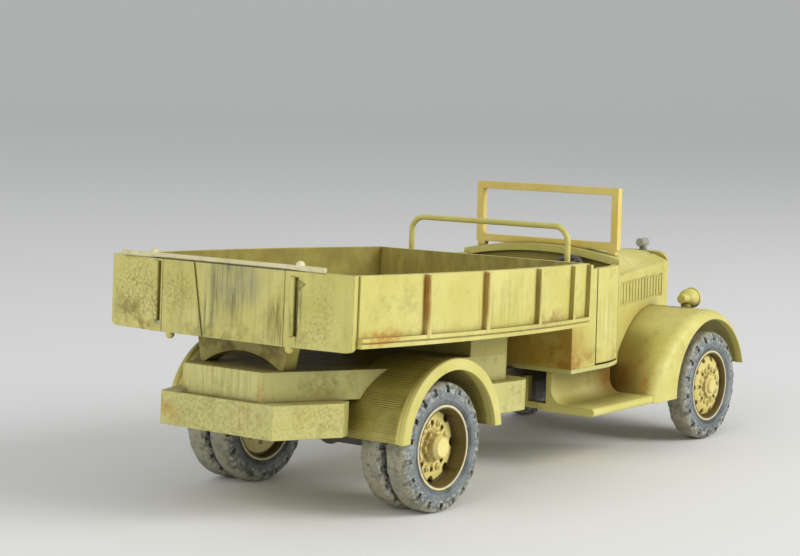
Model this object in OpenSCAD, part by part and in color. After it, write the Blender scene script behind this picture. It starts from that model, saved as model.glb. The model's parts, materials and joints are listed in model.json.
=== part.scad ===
// Open-cab cargo truck with twin rear wheels: a small display model, sizes in millimetres.
// X points forward, Y to the left and Z up. The ground is Z = 0 and the origin is at mid-length.
// Inside the modules X is measured from the rear axle; on_truck() moves it to the model's origin.

/* [Overall] */
// Distance between the two axles
wheelbase = 52.7; // [51:0.1:58]
// Rear axle to the rear face of the chassis tray
rear_overhang = 16.7; // [16.6:0.1:19]
// Front axle to the front face of the bumper
front_overhang = 9.8; // [9.6:0.1:12]

/* [Wheels] */
// Diameter over the tyre tread
tyre_d = 12.2; // [11.8:0.1:12.6]
// Width of one tyre
tyre_w = 2.5; // [2.2:0.1:2.8]
// Radius of the tyre's shoulders
shoulder_r = 0.6; // [0.3:0.05:0.8]
// Diameter of the rim where the tyre sits
rim_d = 8; // [7.6:0.1:8.4]
// Wall of the rim barrel
rim_wall = 0.35; // [0.25:0.05:0.5]
// Width over the outer faces of the front tyres
front_w = 26.2; // [25.6:0.1:26.6]
// Width over the outer faces of the rear tyres
rear_w = 27; // [26.6:0.1:27.6]
// Gap between twin tyres
twin_gap = 0.4; // [0.2:0.1:0.6]
// Notches round each tyre shoulder
lug_count = 18; // [12:1:24]
// Length of a shoulder notch round the tyre
lug_l = 0.6; // [0.4:0.05:0.8]
// Depth of a shoulder notch
lug_depth = 0.4; // [0.2:0.05:0.5]
// How far the rear wheel face is set back in its rim
dish = 1.3; // [1:0.1:1.8]
// Diameter of the axle pins
pin_d = 1.6; // [1.2:0.1:2]
// Running clearance round an axle pin
pin_gap = 0.05; // [0.02:0.01:0.1]

/* [Chassis] */
// Slope of the tray and the bed, down to the front, in degrees
body_rake = 2; // [0:0.1:2.4]
// Height of the tray's lower edge above the ground, at the rear axle
tray_z = 7.5; // [7.3:0.1:8]
// Height of the tray
tray_h = 3.1; // [2.6:0.1:3.6]
// Width of the tray at its rear face
tray_rear_w = 13.4; // [11:0.1:15]
// Width of the tray before and behind the wheels
tray_wide_w = 18.6; // [16:0.1:20]
// Width of the tray between the rear fenders
tray_waist_w = 14.2; // [13.4:0.1:14.6]
// Distance from the rear axle to the front of the tray
tray_front_x = 21.5; // [20:0.1:22.5]
// Height of the box on the tray
box_h = 2.7; // [2.2:0.1:3.2]
// Width of the box at its rear face
box_rear_w = 9.5; // [8:0.1:11]
// Height of the bolsters that carry the bed
bolster_h = 3; // [2.6:0.1:3.4]
// Wall of the tray and of the sheet pieces
sheet = 0.8; // [0.6:0.05:0.9]
// Height of the frame rails
rail_h = 2; // [1.6:0.1:2.4]
// Width over the frame rails
rail_w = 8; // [7:0.1:9]

/* [Bed] */
// Height of the bed's walls
bed_h = 6.3; // [5.6:0.1:7]
// Distance from the rear axle forward to the bed's front face
bed_front_x = 24.5; // [23.5:0.1:24.8]
// Distance from the rear axle back to the tailgate's face
bed_rear_x = 16.4; // [15.8:0.1:16.5]
// Half of the bed's width at its rear corners
bed_half_rear = 14.4; // [14:0.1:15]
// How much nearer the middle the front corners are
bed_taper = 1; // [0.4:0.1:1.6]
// How far the sides bow out beyond the rear corners
bed_bow = 1.1; // [0.6:0.1:1.6]
// Thickness of the bed's walls
bed_wall = 0.7; // [0.5:0.05:0.9]
// Thickness of the bed's floor
floor_t = 0.8; // [0.6:0.1:1]
// Half of the tailgate's width
gate_half = 7.3; // [6.8:0.1:8]
// How far the tailgate and the corners hang below the bed's floor
tail_drop = 0.4; // [0.2:0.1:0.6]
// How far the corner panels sweep forward
corner_sweep = 0.8; // [0.4:0.1:1.2]
// Width of a rib on the bed's side
rib_w = 0.6; // [0.4:0.1:0.9]
// How far ribs and bead stand out from the bed's side
rib_proud = 0.5; // [0.3:0.05:0.6]
// Height of the double bead along the lower edge
bead_h = 0.9; // [0.7:0.1:1.2]
// Diameter of the rail on the tailgate
gate_rail_d = 0.5; // [0.4:0.05:0.6]

/* [Rear fenders] */
// Outer radius of a rear fender
rear_fender_r = 7.7; // [7.5:0.1:8]
// Half of the width over the rear fenders' lips
rear_fender_half = 14.4; // [14.1:0.1:14.8]
// Radial width of the lip
lip_w = 1.1; // [0.9:0.05:1.2]
// Height of the fenders' lower ends
rear_fender_z = 7.4; // [7:0.1:8]

/* [Cab] */
// Gap between the bed and the cab
cab_gap = 1.2; // [0.8:0.1:1.6]
// Half of the cab's width, also the radius of its curved front
cab_r = 11.1; // [10.8:0.1:11.4]
// Length of the cab's straight part
cab_straight = 6.3; // [5.8:0.1:6.8]
// Length of the whole cab, to the hood
cab_l = 14.3; // [13.8:0.1:14.8]
// Height of the cab's floor above the running boards
cab_lift = 3.5; // [3.2:0.1:3.8]
// Height of the cab's sides, from the floor's underside
cab_h = 10.7; // [10:0.1:11.4]
// Distance from the cab's back to the door
door_start = 4.7; // [4.2:0.1:5.2]
// Length of the door, along the truck
door_l = 6; // [5.4:0.1:6.2]
// Thickness of the cab's floor
cab_floor_t = 0.45; // [0.4:0.05:0.8]
// Seam round the doors
seam = 0.2; // [0.1:0.02:0.3]
// Radius of the cowl's crowned top, across the truck
crown_r = 48; // [40:1:60]
// Radius of the cowl's rounded shoulder
cowl_round = 1.6; // [1.2:0.1:1.8]
// Rise of the cowl's middle above the cab's sides
crown_rise = 1.6; // [1.2:0.1:2]
// Height of the windscreen frame above the cowl's middle
screen_h = 6.5; // [6:0.1:7]
// Width over the windscreen frame
screen_w = 18.4; // [17.6:0.1:19]
// Width of the windscreen frame's bars
screen_bar = 0.8; // [0.6:0.1:1]
// Height of the hoop above the cab's back
hoop_h = 4.8; // [4.6:0.1:5.4]
// Diameter of the hoop's tube
hoop_d = 0.6; // [0.4:0.05:0.7]
// Depth of the dashboard below the cab's sides
dash_h = 3; // [2.4:0.1:3.6]
// Height of the seat's cushion above the floor
seat_h = 3.4; // [3:0.1:4]
// Depth of the seat's cushion
seat_l = 5; // [4.4:0.1:5.2]
// Diameter of the steering wheel
steer_d = 4.6; // [4:0.1:5.2]

/* [Front end] */
// Distance from the front axle forward to the radiator
radiator_lead = 5.2; // [4.8:0.1:5.6]
// Half of the hood's width at the radiator
hood_half_front = 4.2; // [3.8:0.1:4.6]
// Half of the width between the hood's crease lines, at the radiator
hood_top_half = 2.3; // [2:0.1:2.8]
// Half of the hood's width at the cowl
hood_half_rear = 7.6; // [7:0.1:7.6]
// Height of the hood's crease line above the ground, at the cowl
hood_crease_z = 18.9; // [18.4:0.1:19.4]
// Height of the hood's top at the radiator
nose_z = 20.6; // [20:0.1:21]
// How far the grille bulges forward
grille_bulge = 1.8; // [1.4:0.1:2]
// Slats in a hood side panel
louvre_count = 14; // [8:1:18]
// Bars of the grille on each side of its middle
grille_bars = 5; // [3:1:6]
// Radius of the front wheel opening
arch_r = 7.9; // [7.7:0.1:8.1]
// Distance of the wheel opening's centre behind the axle
arch_setback = 0.9; // [0.6:0.1:1]
// Radial width of the front fender over the wheel opening
front_lip = 1; // [0.9:0.05:1.2]
// Half of the width over the front fenders
fender_half = 13.6; // [13.4:0.1:13.9]
// Radius of the front fenders' rounded outer edge
fender_round = 1.3; // [1.1:0.1:1.5]
// Height of the front fenders' front ends
fender_front_z = 8.1; // [7.6:0.1:8.6]
// Reach of the rear sweep of the fender behind the opening's centre
fender_sweep = 12.8; // [12.4:0.1:13]
// Height of the running boards' tops
board_z = 6.5; // [6.2:0.1:7]
// Thickness of the running boards
board_t = 0.85; // [0.7:0.05:1]
// Diameter of a headlamp
lamp_d = 2.2; // [2:0.1:2.5]
// Length of a headlamp
lamp_l = 2.6; // [2.4:0.1:3]
// Distance of a headlamp from the middle of the truck
lamp_y = 9.4; // [8.8:0.1:10]
// Width of the front bumper
bumper_w = 23; // [20:0.5:25]
// Height of the front bumper
bumper_h = 1.8; // [1.4:0.1:2.2]

/* [Hidden] */
$fn = 64;
paint = "#cfc46f";
shade_paint = "#b5a957";
screen_paint = "#d2b24e";
cream = "#e3dcb4";
rubber = "#6f7780";
dark_metal = "#5d5c58";
steel = "#a7aaa6";
leather = "#6e5536";
bed_wood = "#8f8748";

// places along the truck, from the rear axle
total_l = rear_overhang + wheelbase + front_overhang;
rear_axle_x = rear_overhang - total_l / 2;
front_x = wheelbase;
bumper_x = wheelbase + front_overhang;
cab_x = bed_front_x + cab_gap;
bend_x = cab_x + cab_straight;
cowl_x = cab_x + cab_l;
door_x0 = cab_x + door_start;
door_x1 = door_x0 + door_l;
radiator_x = front_x + radiator_lead;
arch_x = front_x - arch_setback;
box_front_x = tray_front_x - 1.8;
sump_end_x = radiator_x - 8.5;

// heights
tyre_r = tyre_d / 2;
box_z = tray_z + tray_h;
bolster_z = box_z + box_h;
bed_z = bolster_z + bolster_h;
bed_top = bed_z + bed_h;
tail_z = bed_z - tail_drop;
cab_z = board_z + cab_lift;
cab_floor_top = cab_z + cab_floor_t;
belt_z = cab_z + cab_h;
crown_z = belt_z + crown_rise;
rail_z = cab_z - rail_h;
rake_z = tray_z + tray_h / 2;
arch_drop = 0.2;
arch_z = tyre_r - arch_drop;
fender_top = arch_z + arch_r + front_lip;
board_low = board_z - board_t;

// half widths
box_half = tray_wide_w / 2 - 1.3;
steer_y = -cab_r * 0.41;

// wheels
rim_r = rim_d / 2;
spring_half = tyre_d * 0.51;
fender_x = 0.2;
fender_z = tyre_r + 0.5;
bore_r = pin_d / 2 + pin_gap;
rear_out = rear_w / 2;
rear_in = rear_out - 2 * tyre_w - twin_gap;
front_out = front_w / 2;
front_in = front_out - tyre_w;
rim_inset = 0.15;
disc_inset = 0.8;
axle_gap = 0.3;
pin_end_gap = 0.1;
rear_face = rear_out - rim_inset - dish;
rear_pin_reach = 0.5;
front_cap_t = 0.8;
rear_pin_end = rear_face + rear_pin_reach;
front_pin_end = front_out - front_cap_t;

// hull of the bed in plan: each side is one arc
bed_corner_x = -bed_rear_x + corner_sweep;
bed_l = bed_front_x - bed_corner_x;
bow_rear = sqrt(2 * bed_bow);
bow_front = sqrt(2 * (bed_bow + bed_taper));
bow_r = pow(bed_l / (bow_rear + bow_front), 2);
bow_x = bed_corner_x + bow_rear * sqrt(bow_r);
bow_y = bed_half_rear + bed_bow - bow_r;
rib_places = [0.235, 0.46, 0.7, 0.89, 1];
fit = 0.03;

// front fender: a front arc round the wheel opening and a wider rear sweep, level where they meet
front_arc_r = arch_r + front_lip;
sweep_drop = fender_top - board_z;
rear_arc_r = (pow(fender_sweep, 2) + pow(sweep_drop, 2)) / (2 * sweep_drop);

// hood: its crowned top is a cone, wide at the cowl and narrow at the radiator
rear_drop = crown_z - hood_crease_z;
front_drop = hood_top_half * 0.2;
shoulder_drop = 0.7;
cone_r0 = (pow(hood_half_rear, 2) + pow(rear_drop, 2)) / (2 * rear_drop);
cone_r1 = (pow(hood_top_half, 2) + pow(front_drop, 2)) / (2 * front_drop);
cone_z0 = crown_z - cone_r0;
cone_z1 = nose_z - cone_r1;
hood_l = radiator_x - cowl_x;
hood_tilt = atan2(cone_z1 - cone_z0, hood_l);
cone_l = hood_l / cos(hood_tilt);

// longer than anything on the truck, for cuts
far = 60;

// placing helpers
module on_truck() { translate([rear_axle_x, 0, 0]) children(); }
module on_rake() {
  on_truck() translate([0, 0, rake_z]) rotate([0, body_rake, 0]) translate([0, 0, -rake_z]) children();
}
module on_side(side) { if (side > 0) children(); else mirror([0, 1, 0]) children(); }
module both_sides() { children(); mirror([0, 1, 0]) children(); }
module along_x(x0, x1) { translate([x0, 0, 0]) rotate([90, 0, 90]) linear_extrude(x1 - x0) children(); }
module along_y(y0, y1) { translate([0, y1, 0]) rotate([90, 0, 0]) linear_extrude(y1 - y0) children(); }
module upright(z0, z1) { translate([0, 0, z0]) linear_extrude(z1 - z0) children(); }
module about_y(x, z) { translate([x, 0, z]) rotate([-90, 0, 0]) children(); }
module block(x0, x1, half, z0, z1) { translate([x0, -half, z0]) cube([x1 - x0, 2 * half, z1 - z0]); }
module rod_y(x, z, y0, y1, r) { about_y(x, z) translate([0, 0, y0]) cylinder(h = y1 - y0, r = r); }

// Chassis

// plan of tray and box: tapered tail, waist between the rear fenders, rounded front corners
module tray_plan(rear_half, tail_half, waist_half, nose_half, rear_x, wide_x, tail_taper, front_x) {
  clear = 0.7;
  end_x = wide_x + 2.5 * tail_taper;
  nose_x = rear_fender_r + clear + 0.2;
  round_r = 2.2;
  polygon([
    [rear_x, -rear_half], [wide_x, -tail_half], [end_x, -tail_half + tail_taper],
    [end_x, tail_half - tail_taper], [wide_x, tail_half], [rear_x, rear_half]
  ]);
  translate([end_x - 1, -waist_half]) square([nose_x - end_x + 2, 2 * waist_half]);
  translate([nose_x, -nose_half]) square([front_x - round_r - nose_x, 2 * nose_half]);
  translate([nose_x, -nose_half + round_r]) square([front_x - nose_x, 2 * (nose_half - round_r)]);
  for (s = [-1, 1]) translate([front_x - round_r, s * (nose_half - round_r)]) circle(round_r);
}

module chassis_tray() {
  color(paint) on_rake() difference() {
    upright(tray_z, tray_z + tray_h) tray_plan(tray_rear_w / 2, tray_wide_w / 2, tray_waist_w / 2,
      tray_wide_w / 2, -rear_overhang, -rear_fender_r - 2.2, 0.6, tray_front_x);
    // open underneath, so that the axle has room
    block(-rear_overhang + sheet, tray_front_x - sheet, tray_rear_w / 2 - sheet,
      tray_z - 1, tray_z + tray_h - sheet);
  }
}

// a block on the tray; its slanted sides run into the rear fenders
module chassis_box() {
  tail_half = box_half + 1.6;
  tail_x = -rear_fender_r * 0.4;
  color(paint) difference() {
    on_rake() upright(box_z, bolster_z) tray_plan(box_rear_w / 2, tail_half, tray_waist_w / 2 - 0.3,
      box_half, -rear_overhang + 0.7, tail_x, 0.2, box_front_x);
    on_truck() both_sides() rod_y(fender_x, fender_z,
      tray_waist_w / 2 - fit, far, rear_fender_r + fit);
  }
}

module rear_bolster() {
  // a plate with slanted ends, cut by a flat arch
  half = box_rear_w / 2 + 0.8;
  slant = 0.6;
  x0 = -rear_overhang + 3.3;
  depth = 1.8;
  arch_half = half - slant - 0.5;
  arch_h = bolster_h * 0.46;
  r = (pow(arch_half, 2) + pow(arch_h, 2)) / (2 * arch_h);
  color(shade_paint) on_rake() difference() {
    along_x(x0, x0 + depth)
      polygon([[-half + slant, bolster_z], [half - slant, bolster_z], [half, bed_z], [-half, bed_z]]);
    translate([x0 - 1, 0, bolster_z + arch_h - r]) rotate([0, 90, 0])
      cylinder(h = depth + 2, r = r, $fn = 180);
  }
}

module front_bolster() {
  length = 8;
  x0 = box_front_x - length;
  round_r = 2.2;
  color(shade_paint) on_rake() upright(bolster_z, bed_z) {
    translate([x0, -box_half]) square([length - round_r, 2 * box_half]);
    translate([x0, -box_half + round_r]) square([length, 2 * (box_half - round_r)]);
    for (s = [-1, 1]) translate([box_front_x - round_r, s * (box_half - round_r)]) circle(round_r);
  }
}

module frame_rails() {
  rail_t = 0.9;
  start_x = tray_front_x + 0.1;
  cross_places = [start_x, cab_x + 4, sump_end_x + 1.5, bumper_x - 3.2];
  color(dark_metal) on_truck() {
    both_sides() translate([start_x, rail_w / 2 - rail_t, rail_z])
      cube([bumper_x - 1.2 - start_x, rail_t, rail_h]);
    for (x = cross_places) block(x, x + 1, rail_w / 2 - rail_t / 2, rail_z, rail_z + rail_h / 2);
  }
}

// a leaf spring: two stacked leaves on an arc, with an end block under the rail
module leaf_spring(x, y, axle_top, rail_low, half_l) {
  leaf_w = 1.1;
  leaf_t = 0.45;
  rise = rail_low - axle_top - 2 * leaf_t;
  r = (half_l * half_l + rise * rise) / (2 * rise);
  translate([x, 0, axle_top + r]) along_y(y - leaf_w / 2, y + leaf_w / 2) intersection() {
    difference() {
      circle(r);
      circle(r - 2 * leaf_t);
    }
    translate([-half_l, -r - 1]) square([2 * half_l, rise + 2 * leaf_t + 1]);
  }
  for (s = [-1, 1]) translate([x + s * half_l - 0.5, y - leaf_w / 2, rail_low - 1]) cube([1, leaf_w, 1]);
}

module rear_axle() {
  tube_r = 1;
  hub_end = rear_in + disc_inset - axle_gap;
  pad_y = tray_rear_w / 2 - sheet - 1.3;
  pad_l = 1.8;
  tray_top = tray_z + tray_h - sheet;
  pad_top = tray_top - pad_l / 2 * tan(body_rake) - fit;
  spring_top = tray_top - spring_half * tan(body_rake) - fit;
  color(dark_metal) on_truck() {
    rod_y(0, tyre_r, -hub_end, hub_end, tube_r);
    both_sides() rod_y(0, tyre_r, hub_end - 0.1, rear_pin_end - pin_end_gap, pin_d / 2);
    // differential
    translate([0, 0, tyre_r]) sphere(1.3);
    translate([0, 0, tyre_r]) rotate([0, 90, 0]) cylinder(h = 2.6, r1 = 1.1, r2 = 0.8);
    both_sides() translate([-pad_l / 2, pad_y - 0.6, tyre_r]) cube([pad_l, 1.2, pad_top - tyre_r]);
    both_sides() leaf_spring(0, pad_y, tyre_r + tube_r - 0.3, spring_top, spring_half);
  }
}

module front_axle() {
  beam = 1.2;
  knuckle_r = 1.1;
  hub_end = front_in + disc_inset - axle_gap;
  pin_stop = front_pin_end - pin_end_gap;
  king_y = front_in - 0.9;
  color(dark_metal) on_truck() {
    block(front_x - beam / 2, front_x + beam / 2, king_y, tyre_r - beam / 2, tyre_r + beam / 2);
    both_sides() {
      rod_y(front_x, tyre_r, king_y - 0.3, hub_end, knuckle_r);
      rod_y(front_x, tyre_r, hub_end - 0.1, pin_stop, pin_d / 2);
      // kingpin boss
      translate([front_x, king_y, tyre_r - 1.3]) cylinder(h = 2.6, r = 0.7);
      leaf_spring(front_x, rail_w / 2 - 0.5, tyre_r + beam / 2 - 0.2, rail_z, spring_half);
    }
    // track rod behind the axle, with its arms
    rod_y(front_x - 1.9, tyre_r - 0.3, -king_y, king_y, 0.3);
    both_sides() translate([front_x - 1.9, king_y - 0.3, tyre_r - 0.6]) cube([1.9, 0.6, 0.6]);
  }
}

module drive_line() {
  box_l = 7;
  box_x = cowl_x - box_l;
  shaft_start = 2.7;
  shaft_r = 0.45;
  flange_r = 0.8;
  color(dark_metal) on_truck() {
    block(box_x, box_x + box_l, 2.2, tyre_r - 0.6, cab_z);
    translate([shaft_start, 0, tyre_r]) rotate([0, 90, 0])
      cylinder(h = box_x - shaft_start + 0.2, r = shaft_r);
    translate([box_x - 1, 0, tyre_r]) rotate([0, 90, 0]) cylinder(h = 1.2, r = flange_r);
    // engine sump ahead of the gearbox
    block(box_x + box_l - 0.1, sump_end_x, 2.6, rail_z - 1.2, cab_z);
  }
}

// Bed

// plan of the bed's sides, moved in by an inset, between two places along the truck
module bed_plan(inset, x0, x1) {
  intersection() {
    translate([bow_x, bow_y]) circle(bow_r - inset, $fn = 360);
    translate([bow_x, -bow_y]) circle(bow_r - inset, $fn = 360);
    translate([x0, -far]) square([x1 - x0, 2 * far]);
  }
}

function bed_half(x) = bow_y + sqrt(pow(bow_r, 2) - pow(x - bow_x, 2));

module bed_floor() {
  color(bed_wood) on_rake() upright(bed_z, bed_z + floor_t)
    bed_plan(bed_wall + fit, bed_corner_x + bed_wall + fit, bed_front_x - bed_wall - fit);
}

module bed_front_board() {
  color(paint) on_rake() upright(bed_z, bed_top)
    bed_plan(bed_wall + fit, bed_front_x - bed_wall, bed_front_x);
}

module bed_side(side) {
  x0 = bed_corner_x + bed_wall + fit;
  groove = 0.15;
  low_bead = (bead_h - groove) / 2;
  // columns of the bead table
  Z = 0;
  HEIGHT = 1;
  PROUD = 2;
  bead_levels = [
    [bed_z, bead_h, rib_proud * 0.55],
    [bed_z, low_bead, rib_proud * 0.7],
    [bed_z + low_bead + groove, low_bead, rib_proud * 0.9]
  ];
  rib_h = bed_h - bead_h - 0.1;
  color(paint) on_rake() on_side(side) {
    intersection() {
      upright(bed_z, bed_top) difference() {
        bed_plan(0, x0, bed_front_x);
        bed_plan(bed_wall, x0 - 1, bed_front_x + 1);
      }
      translate([-far, 0, 0]) cube([2 * far, far, far]);
    }
    // double bead: a ledge above a thinner one
    for (level = bead_levels) intersection() {
      upright(level[Z], level[Z] + level[HEIGHT]) difference() {
        bed_plan(-level[PROUD], x0, bed_front_x);
        bed_plan(bed_wall / 2, x0 - 1, bed_front_x + 1);
      }
      translate([-far, 0, 0]) cube([2 * far, far, far]);
    }
    for (place = rib_places) {
      x = min(bed_corner_x + place * bed_l, bed_front_x - rib_w / 2);
      turn = -asin((x - bow_x) / bow_r);
      translate([x, bed_half(x), bed_z + bead_h]) rotate([0, 0, turn])
        translate([-rib_w / 2, -bed_wall / 2, 0])
          cube([rib_w, bed_wall / 2 + rib_proud * 0.9, rib_h]);
    }
  }
}

// a drop-shaped hinge knob under the bed's rear edge
module hinge_knob(y) {
  knob_r = 0.42;
  translate([-bed_rear_x + bed_wall / 2, y, tail_z - 0.15]) sphere(knob_r);
}

// a swept panel beside the tailgate, with a half-round post and a slot on the post's right
module tail_corner(side) {
  corner_r = 0.6;
  panel_h = bed_top - tail_z;
  post_d = 0.5;
  slot_w = 0.35;
  slot_depth = 0.3;
  post_y = slot_w + post_d / 2 + 0.2;
  slot_y = side > 0 ? post_y - post_d / 2 - slot_w : post_y + post_d / 2;
  slot_z = 1;
  slot_top = panel_h - (side > 0 ? 0.2 : 0.5);
  latch = 1.1;
  half = bed_half(bed_corner_x);
  sweep_angle = atan2(corner_sweep, half - gate_half);
  panel_l = (half - gate_half) / cos(sweep_angle) - fit;
  color(paint) on_rake() on_side(side) {
    translate([-bed_rear_x, gate_half + fit, tail_z]) rotate([0, 0, -sweep_angle]) {
      difference() {
        translate([bed_wall, 0, 0]) rotate([0, -90, 0]) linear_extrude(bed_wall) {
          translate([corner_r, 0]) square([panel_h - corner_r, panel_l]);
          square([panel_h, panel_l - corner_r]);
          translate([corner_r, panel_l - corner_r]) circle(corner_r);
        }
        along_x(-1, slot_depth) {
          translate([slot_y, slot_z]) square([slot_w, slot_top - slot_z]);
          // flag-shaped catch at the slot's top
          if (side < 0) polygon([
            [slot_y, slot_top - latch - 0.5], [slot_y + latch, slot_top - latch / 2], [slot_y, slot_top]
          ]);
        }
      }
      translate([0, post_y, slot_z]) cylinder(h = slot_top - slot_z, d = post_d);
    }
    if (side < 0) hinge_knob(gate_half + 0.5);
  }
}

module tailgate() {
  seam_depth = 0.15;
  seam_w = 0.24;
  half = gate_half - fit;
  past = 0.5;
  // slanted seam in the face, further in at its foot
  seam_top = half * 0.48;
  seam_low = half * 0.29;
  color(paint) on_rake() {
    difference() {
      block(-bed_rear_x, -bed_rear_x + bed_wall, half, tail_z, bed_top);
      along_x(-bed_rear_x - 1, -bed_rear_x + seam_depth) polygon([
        [seam_low - seam_w / 2, tail_z - past], [seam_low + seam_w / 2, tail_z - past],
        [seam_top + seam_w / 2, bed_top + past], [seam_top - seam_w / 2, bed_top + past]
      ]);
    }
    hinge_knob(half - 0.8);
  }
}

// rod along the top of the tailgate, a little nearer the left
module tailgate_rail() {
  r = gate_rail_d / 2;
  y1 = bed_half_rear - 1.7;
  y0 = -bed_half_rear + 2.9;
  knob_r = 0.42;
  x = -bed_rear_x + bed_wall / 2;
  color(cream) on_rake() {
    rod_y(x, bed_top + r + fit, y0, y1, r);
    for (s = [-1, 1]) translate([x, s * (gate_half + 1.4), bed_top + knob_r + 0.1]) sphere(knob_r);
  }
}

module rear_fender(side) {
  inner_y = tray_waist_w / 2;
  lip_t = 0.5;
  crown = 0.25;
  r = rear_fender_r;
  color(paint) on_truck() on_side(side) intersection() {
    about_y(fender_x, fender_z) rotate_extrude() polygon([
      [r - sheet, inner_y], [r, inner_y], [r, rear_fender_half - lip_t - crown],
      [r + crown, rear_fender_half - lip_t], [r + crown, rear_fender_half - 0.1],
      [r + crown - 0.1, rear_fender_half], [r + crown - lip_w, rear_fender_half],
      [r + crown - lip_w, rear_fender_half - lip_t], [r - sheet, rear_fender_half - lip_t]
    ]);
    translate([-far, 0, rear_fender_z]) cube([2 * far, far, far]);
  }
}

// Cab

module cab_plan(inset, x0, x1) {
  intersection() {
    union() {
      translate([cab_x + inset, -cab_r + inset]) square([cab_straight - inset, 2 * (cab_r - inset)]);
      translate([bend_x, 0]) circle(cab_r - inset, $fn = 180);
    }
    translate([max(x0, cab_x + inset), -far]) square([x1 - max(x0, cab_x + inset), 2 * far]);
  }
}

module cab_wall(x0, x1) {
  difference() {
    cab_plan(0, x0, x1);
    cab_plan(sheet, cab_x, x1 + 1);
  }
}

// space under the crowned top of the cowl
module under_crown(gap) {
  intersection() {
    translate([-far, 0, crown_z - crown_r]) rotate([0, 90, 0])
      cylinder(h = 3 * far, r = crown_r - gap, $fn = 180);
    // rounded shoulder that follows the cab's curved front
    translate([bend_x, 0, 0]) rotate_extrude($fn = 180) {
      square([cab_r - cowl_round, crown_z - gap]);
      square([cab_r - gap, crown_z - cowl_round]);
      translate([cab_r - cowl_round, crown_z - cowl_round]) circle(cowl_round - gap);
    }
  }
}

module cab_floor() {
  color(shade_paint) on_truck() upright(cab_z, cab_floor_top) cab_plan(0, cab_x, cowl_x);
}

module cab_back() {
  color(paint) on_truck() upright(cab_floor_top, belt_z) cab_wall(cab_x, door_x0);
}

module door(side) {
  color(paint) on_truck() on_side(side) intersection() {
    upright(cab_floor_top + seam, belt_z) cab_wall(door_x0 + seam, door_x1 - seam);
    cube(2 * far);
  }
}

module cowl() {
  top_t = 0.8;
  color(paint) on_truck() difference() {
    intersection() {
      upright(cab_floor_top, crown_z + 1) cab_plan(0, door_x1, cowl_x);
      under_crown(0);
    }
    // footwell, open to the rear
    intersection() {
      upright(cab_floor_top - 1, crown_z) cab_plan(sheet, door_x1 - 1, cowl_x - sheet);
      under_crown(top_t);
    }
  }
}

module dashboard() {
  x = cowl_x - 3;
  half = sqrt(pow(cab_r - sheet, 2) - pow(x + sheet - bend_x, 2)) - 0.1;
  z0 = belt_z - dash_h;
  gauge_r = dash_h * 0.23;
  gauge_depth = 0.2;
  gauge_places = [steer_y - 1.4 * gauge_r, steer_y + 1.4 * gauge_r];
  color(shade_paint) on_truck() difference() {
    intersection() {
      block(x, x + sheet, half, z0, crown_z);
      under_crown(0.8 + fit);
    }
    for (y = gauge_places) translate([x - 0.1, y, belt_z - dash_h * 0.4]) rotate([0, 90, 0])
      cylinder(h = gauge_depth + 0.1, r = gauge_r);
  }
}

module windscreen_frame() {
  x = cowl_x - 2.6;
  depth = 0.8;
  top_z = crown_z + screen_h;
  half = screen_w / 2;
  low_z = crown_z - 0.25;
  foot_w = 1;
  color(screen_paint) on_truck() difference() {
    union() {
      difference() {
        block(x, x + depth, half, low_z, top_z);
        block(x - 1, x + depth + 1, half - screen_bar, low_z + screen_bar, top_z - screen_bar);
      }
      // feet on the cowl's shoulders
      both_sides() translate([x, half - 0.2 - foot_w, belt_z])
        cube([depth * 0.8, foot_w, low_z - belt_z + 0.1]);
    }
    under_crown(-fit);
  }
}

module bench_seat() {
  x0 = cab_x + sheet + 0.3;
  half = cab_r - sheet - 0.6;
  base_h = seat_h * 0.53;
  step = seat_l * 0.12;
  back_t = seat_l * 0.38;
  z0 = cab_floor_top;
  top_z = belt_z - 1.2;
  color(leather) on_truck() {
    block(x0, x0 + seat_l - step, half - step, z0, z0 + base_h);
    block(x0, x0 + seat_l, half, z0 + base_h, z0 + seat_h);
    along_y(-half, half) polygon([
      [x0, z0 + seat_h - 0.1], [x0 + back_t, z0 + seat_h - 0.1], [x0 + back_t * 0.6, top_z], [x0, top_z]
    ]);
  }
}

module steering_wheel() {
  hub_x = door_x1 - 2.2;
  hub_z = belt_z - 0.9;
  lean = 42;
  rim_t = 0.28;
  spoke = 0.36;
  column_r = 0.28;
  // the column ends at the cowl's front wall
  column_l = (cowl_x - sheet - fit - hub_x - column_r * cos(lean)) / sin(lean);
  color(dark_metal) on_truck() translate([hub_x, steer_y, hub_z]) rotate([0, -lean, 0]) {
    rotate_extrude() translate([steer_d / 2 - rim_t, 0]) circle(rim_t, $fn = 32);
    for (a = [90, 210, 330]) rotate([0, 0, a]) translate([0, -spoke / 2, -spoke / 2])
      cube([steer_d / 2 - rim_t, spoke, spoke]);
    translate([0, 0, -0.4]) cylinder(h = 0.7, r = 0.55);
    translate([0, 0, -column_l]) cylinder(h = column_l, r = column_r);
  }
}

module cab_hoop() {
  r = hoop_d / 2;
  bend = 1.6;
  x = cab_x + sheet / 2;
  half = cab_r - 1.1;
  top = belt_z + hoop_h - r;
  color(paint) on_truck() translate([x, 0, 0]) {
    both_sides() {
      translate([0, half, belt_z]) cylinder(h = hoop_h - r - bend, r = r);
      translate([0, half - bend, top - bend]) rotate([90, 0, 90])
        rotate_extrude(angle = 90) translate([bend, 0]) circle(r, $fn = 32);
    }
    rod_y(0, top, -half + bend, half - bend, r);
  }
}

// Front end

module hood_plan(grow) {
  polygon([
    [cowl_x, -hood_half_rear - grow], [radiator_x, -hood_half_front - grow],
    [radiator_x, hood_half_front + grow], [cowl_x, hood_half_rear + grow]
  ]);
}

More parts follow.
